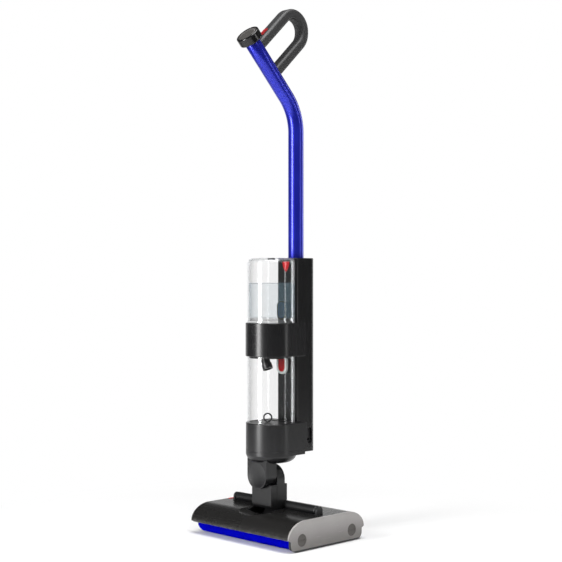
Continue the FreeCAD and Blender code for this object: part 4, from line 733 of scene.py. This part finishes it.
# ---- Studio floor -----------------------------------------------------------------------
# A round board sprayed with matt off-white paint lies under the object. To the camera it
# goes over to plain white further out.
FLOOR_RADIUS = 1.6
FLOOR_FADE = (0.22, 0.75)
FLOOR_SIDES = 96
rim_angles = [2 * math.pi * k / FLOOR_SIDES for k in range(FLOOR_SIDES)]
rim = [(FLOOR_RADIUS * math.cos(a), FLOOR_RADIUS * math.sin(a), 0.0) for a in rim_angles]
floor_paint, floor_shader, floor_place = new_material("studio floor paint")
off_white = floor_place.noise(3.0, 3.0).mix((0.92, 0.92, 0.92, 1), (0.94, 0.94, 0.94, 1))
feed(floor_shader, base_color=off_white, roughness=0.9)
distance = floor_place.vector("LENGTH", (0, 0, 0), out=1)
glow = floor_place.make("ShaderNodeEmission", None, {"Color": (1, 1, 1, 1), "Strength": 1.0})
looked_at = floor_place.make("ShaderNodeLightPath")
painted = Value(floor_place.tree, floor_shader.outputs[0])
both = floor_place.make("ShaderNodeMixShader", None, {
    0: distance.between(*FLOOR_FADE) * looked_at, 1: painted, 2: glow})
floor_place.tree.links.new(both.output, floor_place.tree.nodes["Material Output"].inputs["Surface"])
mesh_object("studio_floor", rim, [tuple(range(FLOOR_SIDES))], floor_paint)

# ---- Room and lamps ---------------------------------------------------------------------
# A dim even room, with a white paper backdrop behind the object that also lights it from
# low down. Cloth-fronted soft boxes stand round it, and one hangs above.
SURROUND = 0.10
BACK_GLOW = 0.85
BACK_WAY = (-0.711, 0.703, 0.0)
BACK_EDGE = (0.55, 0.95)
BACK_TOP = (0.15, 0.4)
world = bpy.data.worlds.new("white studio")
scene.world = world
world.use_nodes = True
sky = world.node_tree
room = Value(sky, sky.nodes["Background"].outputs[0])
sky.nodes["Background"].inputs["Color"].default_value = (1, 1, 1, 1)
ray = room.make("ShaderNodeTexCoord")
towards_back = ray.vector("DOT_PRODUCT", BACK_WAY, out=1).between(*BACK_EDGE)
low_down = 1.0 - ray.axis(2).between(*BACK_TOP)
dim = SURROUND + towards_back * low_down * BACK_GLOW
sky.links.new(dim.output, sky.nodes["Background"].inputs["Strength"])
seen = room.make("ShaderNodeBackground", None, {"Color": (1, 1, 1, 1), "Strength": 1.0})
direct = room.make("ShaderNodeLightPath")
backdrop = room.make("ShaderNodeMixShader", None, {0: direct, 1: room, 2: seen})
sky.links.new(backdrop.output, sky.nodes["World Output"].inputs["Surface"])
CAMERA_TURN = math.radians(45.33)


def soft_box(name, turn, height, distance, width, tall, power, aim=0.5):
    """A rectangular lamp. Turn is in degrees round the object from the camera's side,
    positive to the camera's right. Aim is the height that it points at."""
    lamp = bpy.data.lights.new(name, "AREA")
    lamp.shape = "RECTANGLE"
    lamp.size, lamp.size_y, lamp.energy = width, tall, power
    holder = bpy.data.objects.new(name, lamp)
    angle = CAMERA_TURN - math.pi / 2 + math.radians(turn)
    holder.location = (distance * math.cos(angle), distance * math.sin(angle), height)
    look = Vector((0, 0, aim)) - Vector(holder.location)
    holder.rotation_euler = look.to_track_quat("-Z", "Y").to_euler()
    scene.collection.objects.link(holder)


soft_box("left_box", -57, 0.75, 2.2, 0.62, 2.0, 64)
soft_box("right_box", 71, 0.75, 2.2, 0.2, 2.0, 6)
soft_box("rim_box", 122, 0.8, 2.2, 0.4, 1.8, 10)
soft_box("front_box", 25, 1.9, 1.9, 0.8, 0.8, 6, aim=0.3)
soft_box("top_box", 20, 2.6, 0.6, 1.6, 1.6, 60, aim=0.0)

# ---- Camera -----------------------------------------------------------------------------
# A full-frame camera with a long lens stands level, about half the object's height up, and
# looks at the corner between its front and its right side.
LENS_LENGTH = 78.3                       # millimetres, as is the sensor
SENSOR_WIDTH = 36.0
CAMERA_PLACE = (1.8793, -1.8446, 0.5484)
camera_data = bpy.data.cameras.new("camera")
camera_data.lens = LENS_LENGTH
camera_data.sensor_width = SENSOR_WIDTH
camera = bpy.data.objects.new("camera", camera_data)
camera.location = CAMERA_PLACE
camera.rotation_euler = (math.pi / 2, 0, CAMERA_TURN)
scene.collection.objects.link(camera)
scene.camera = camera
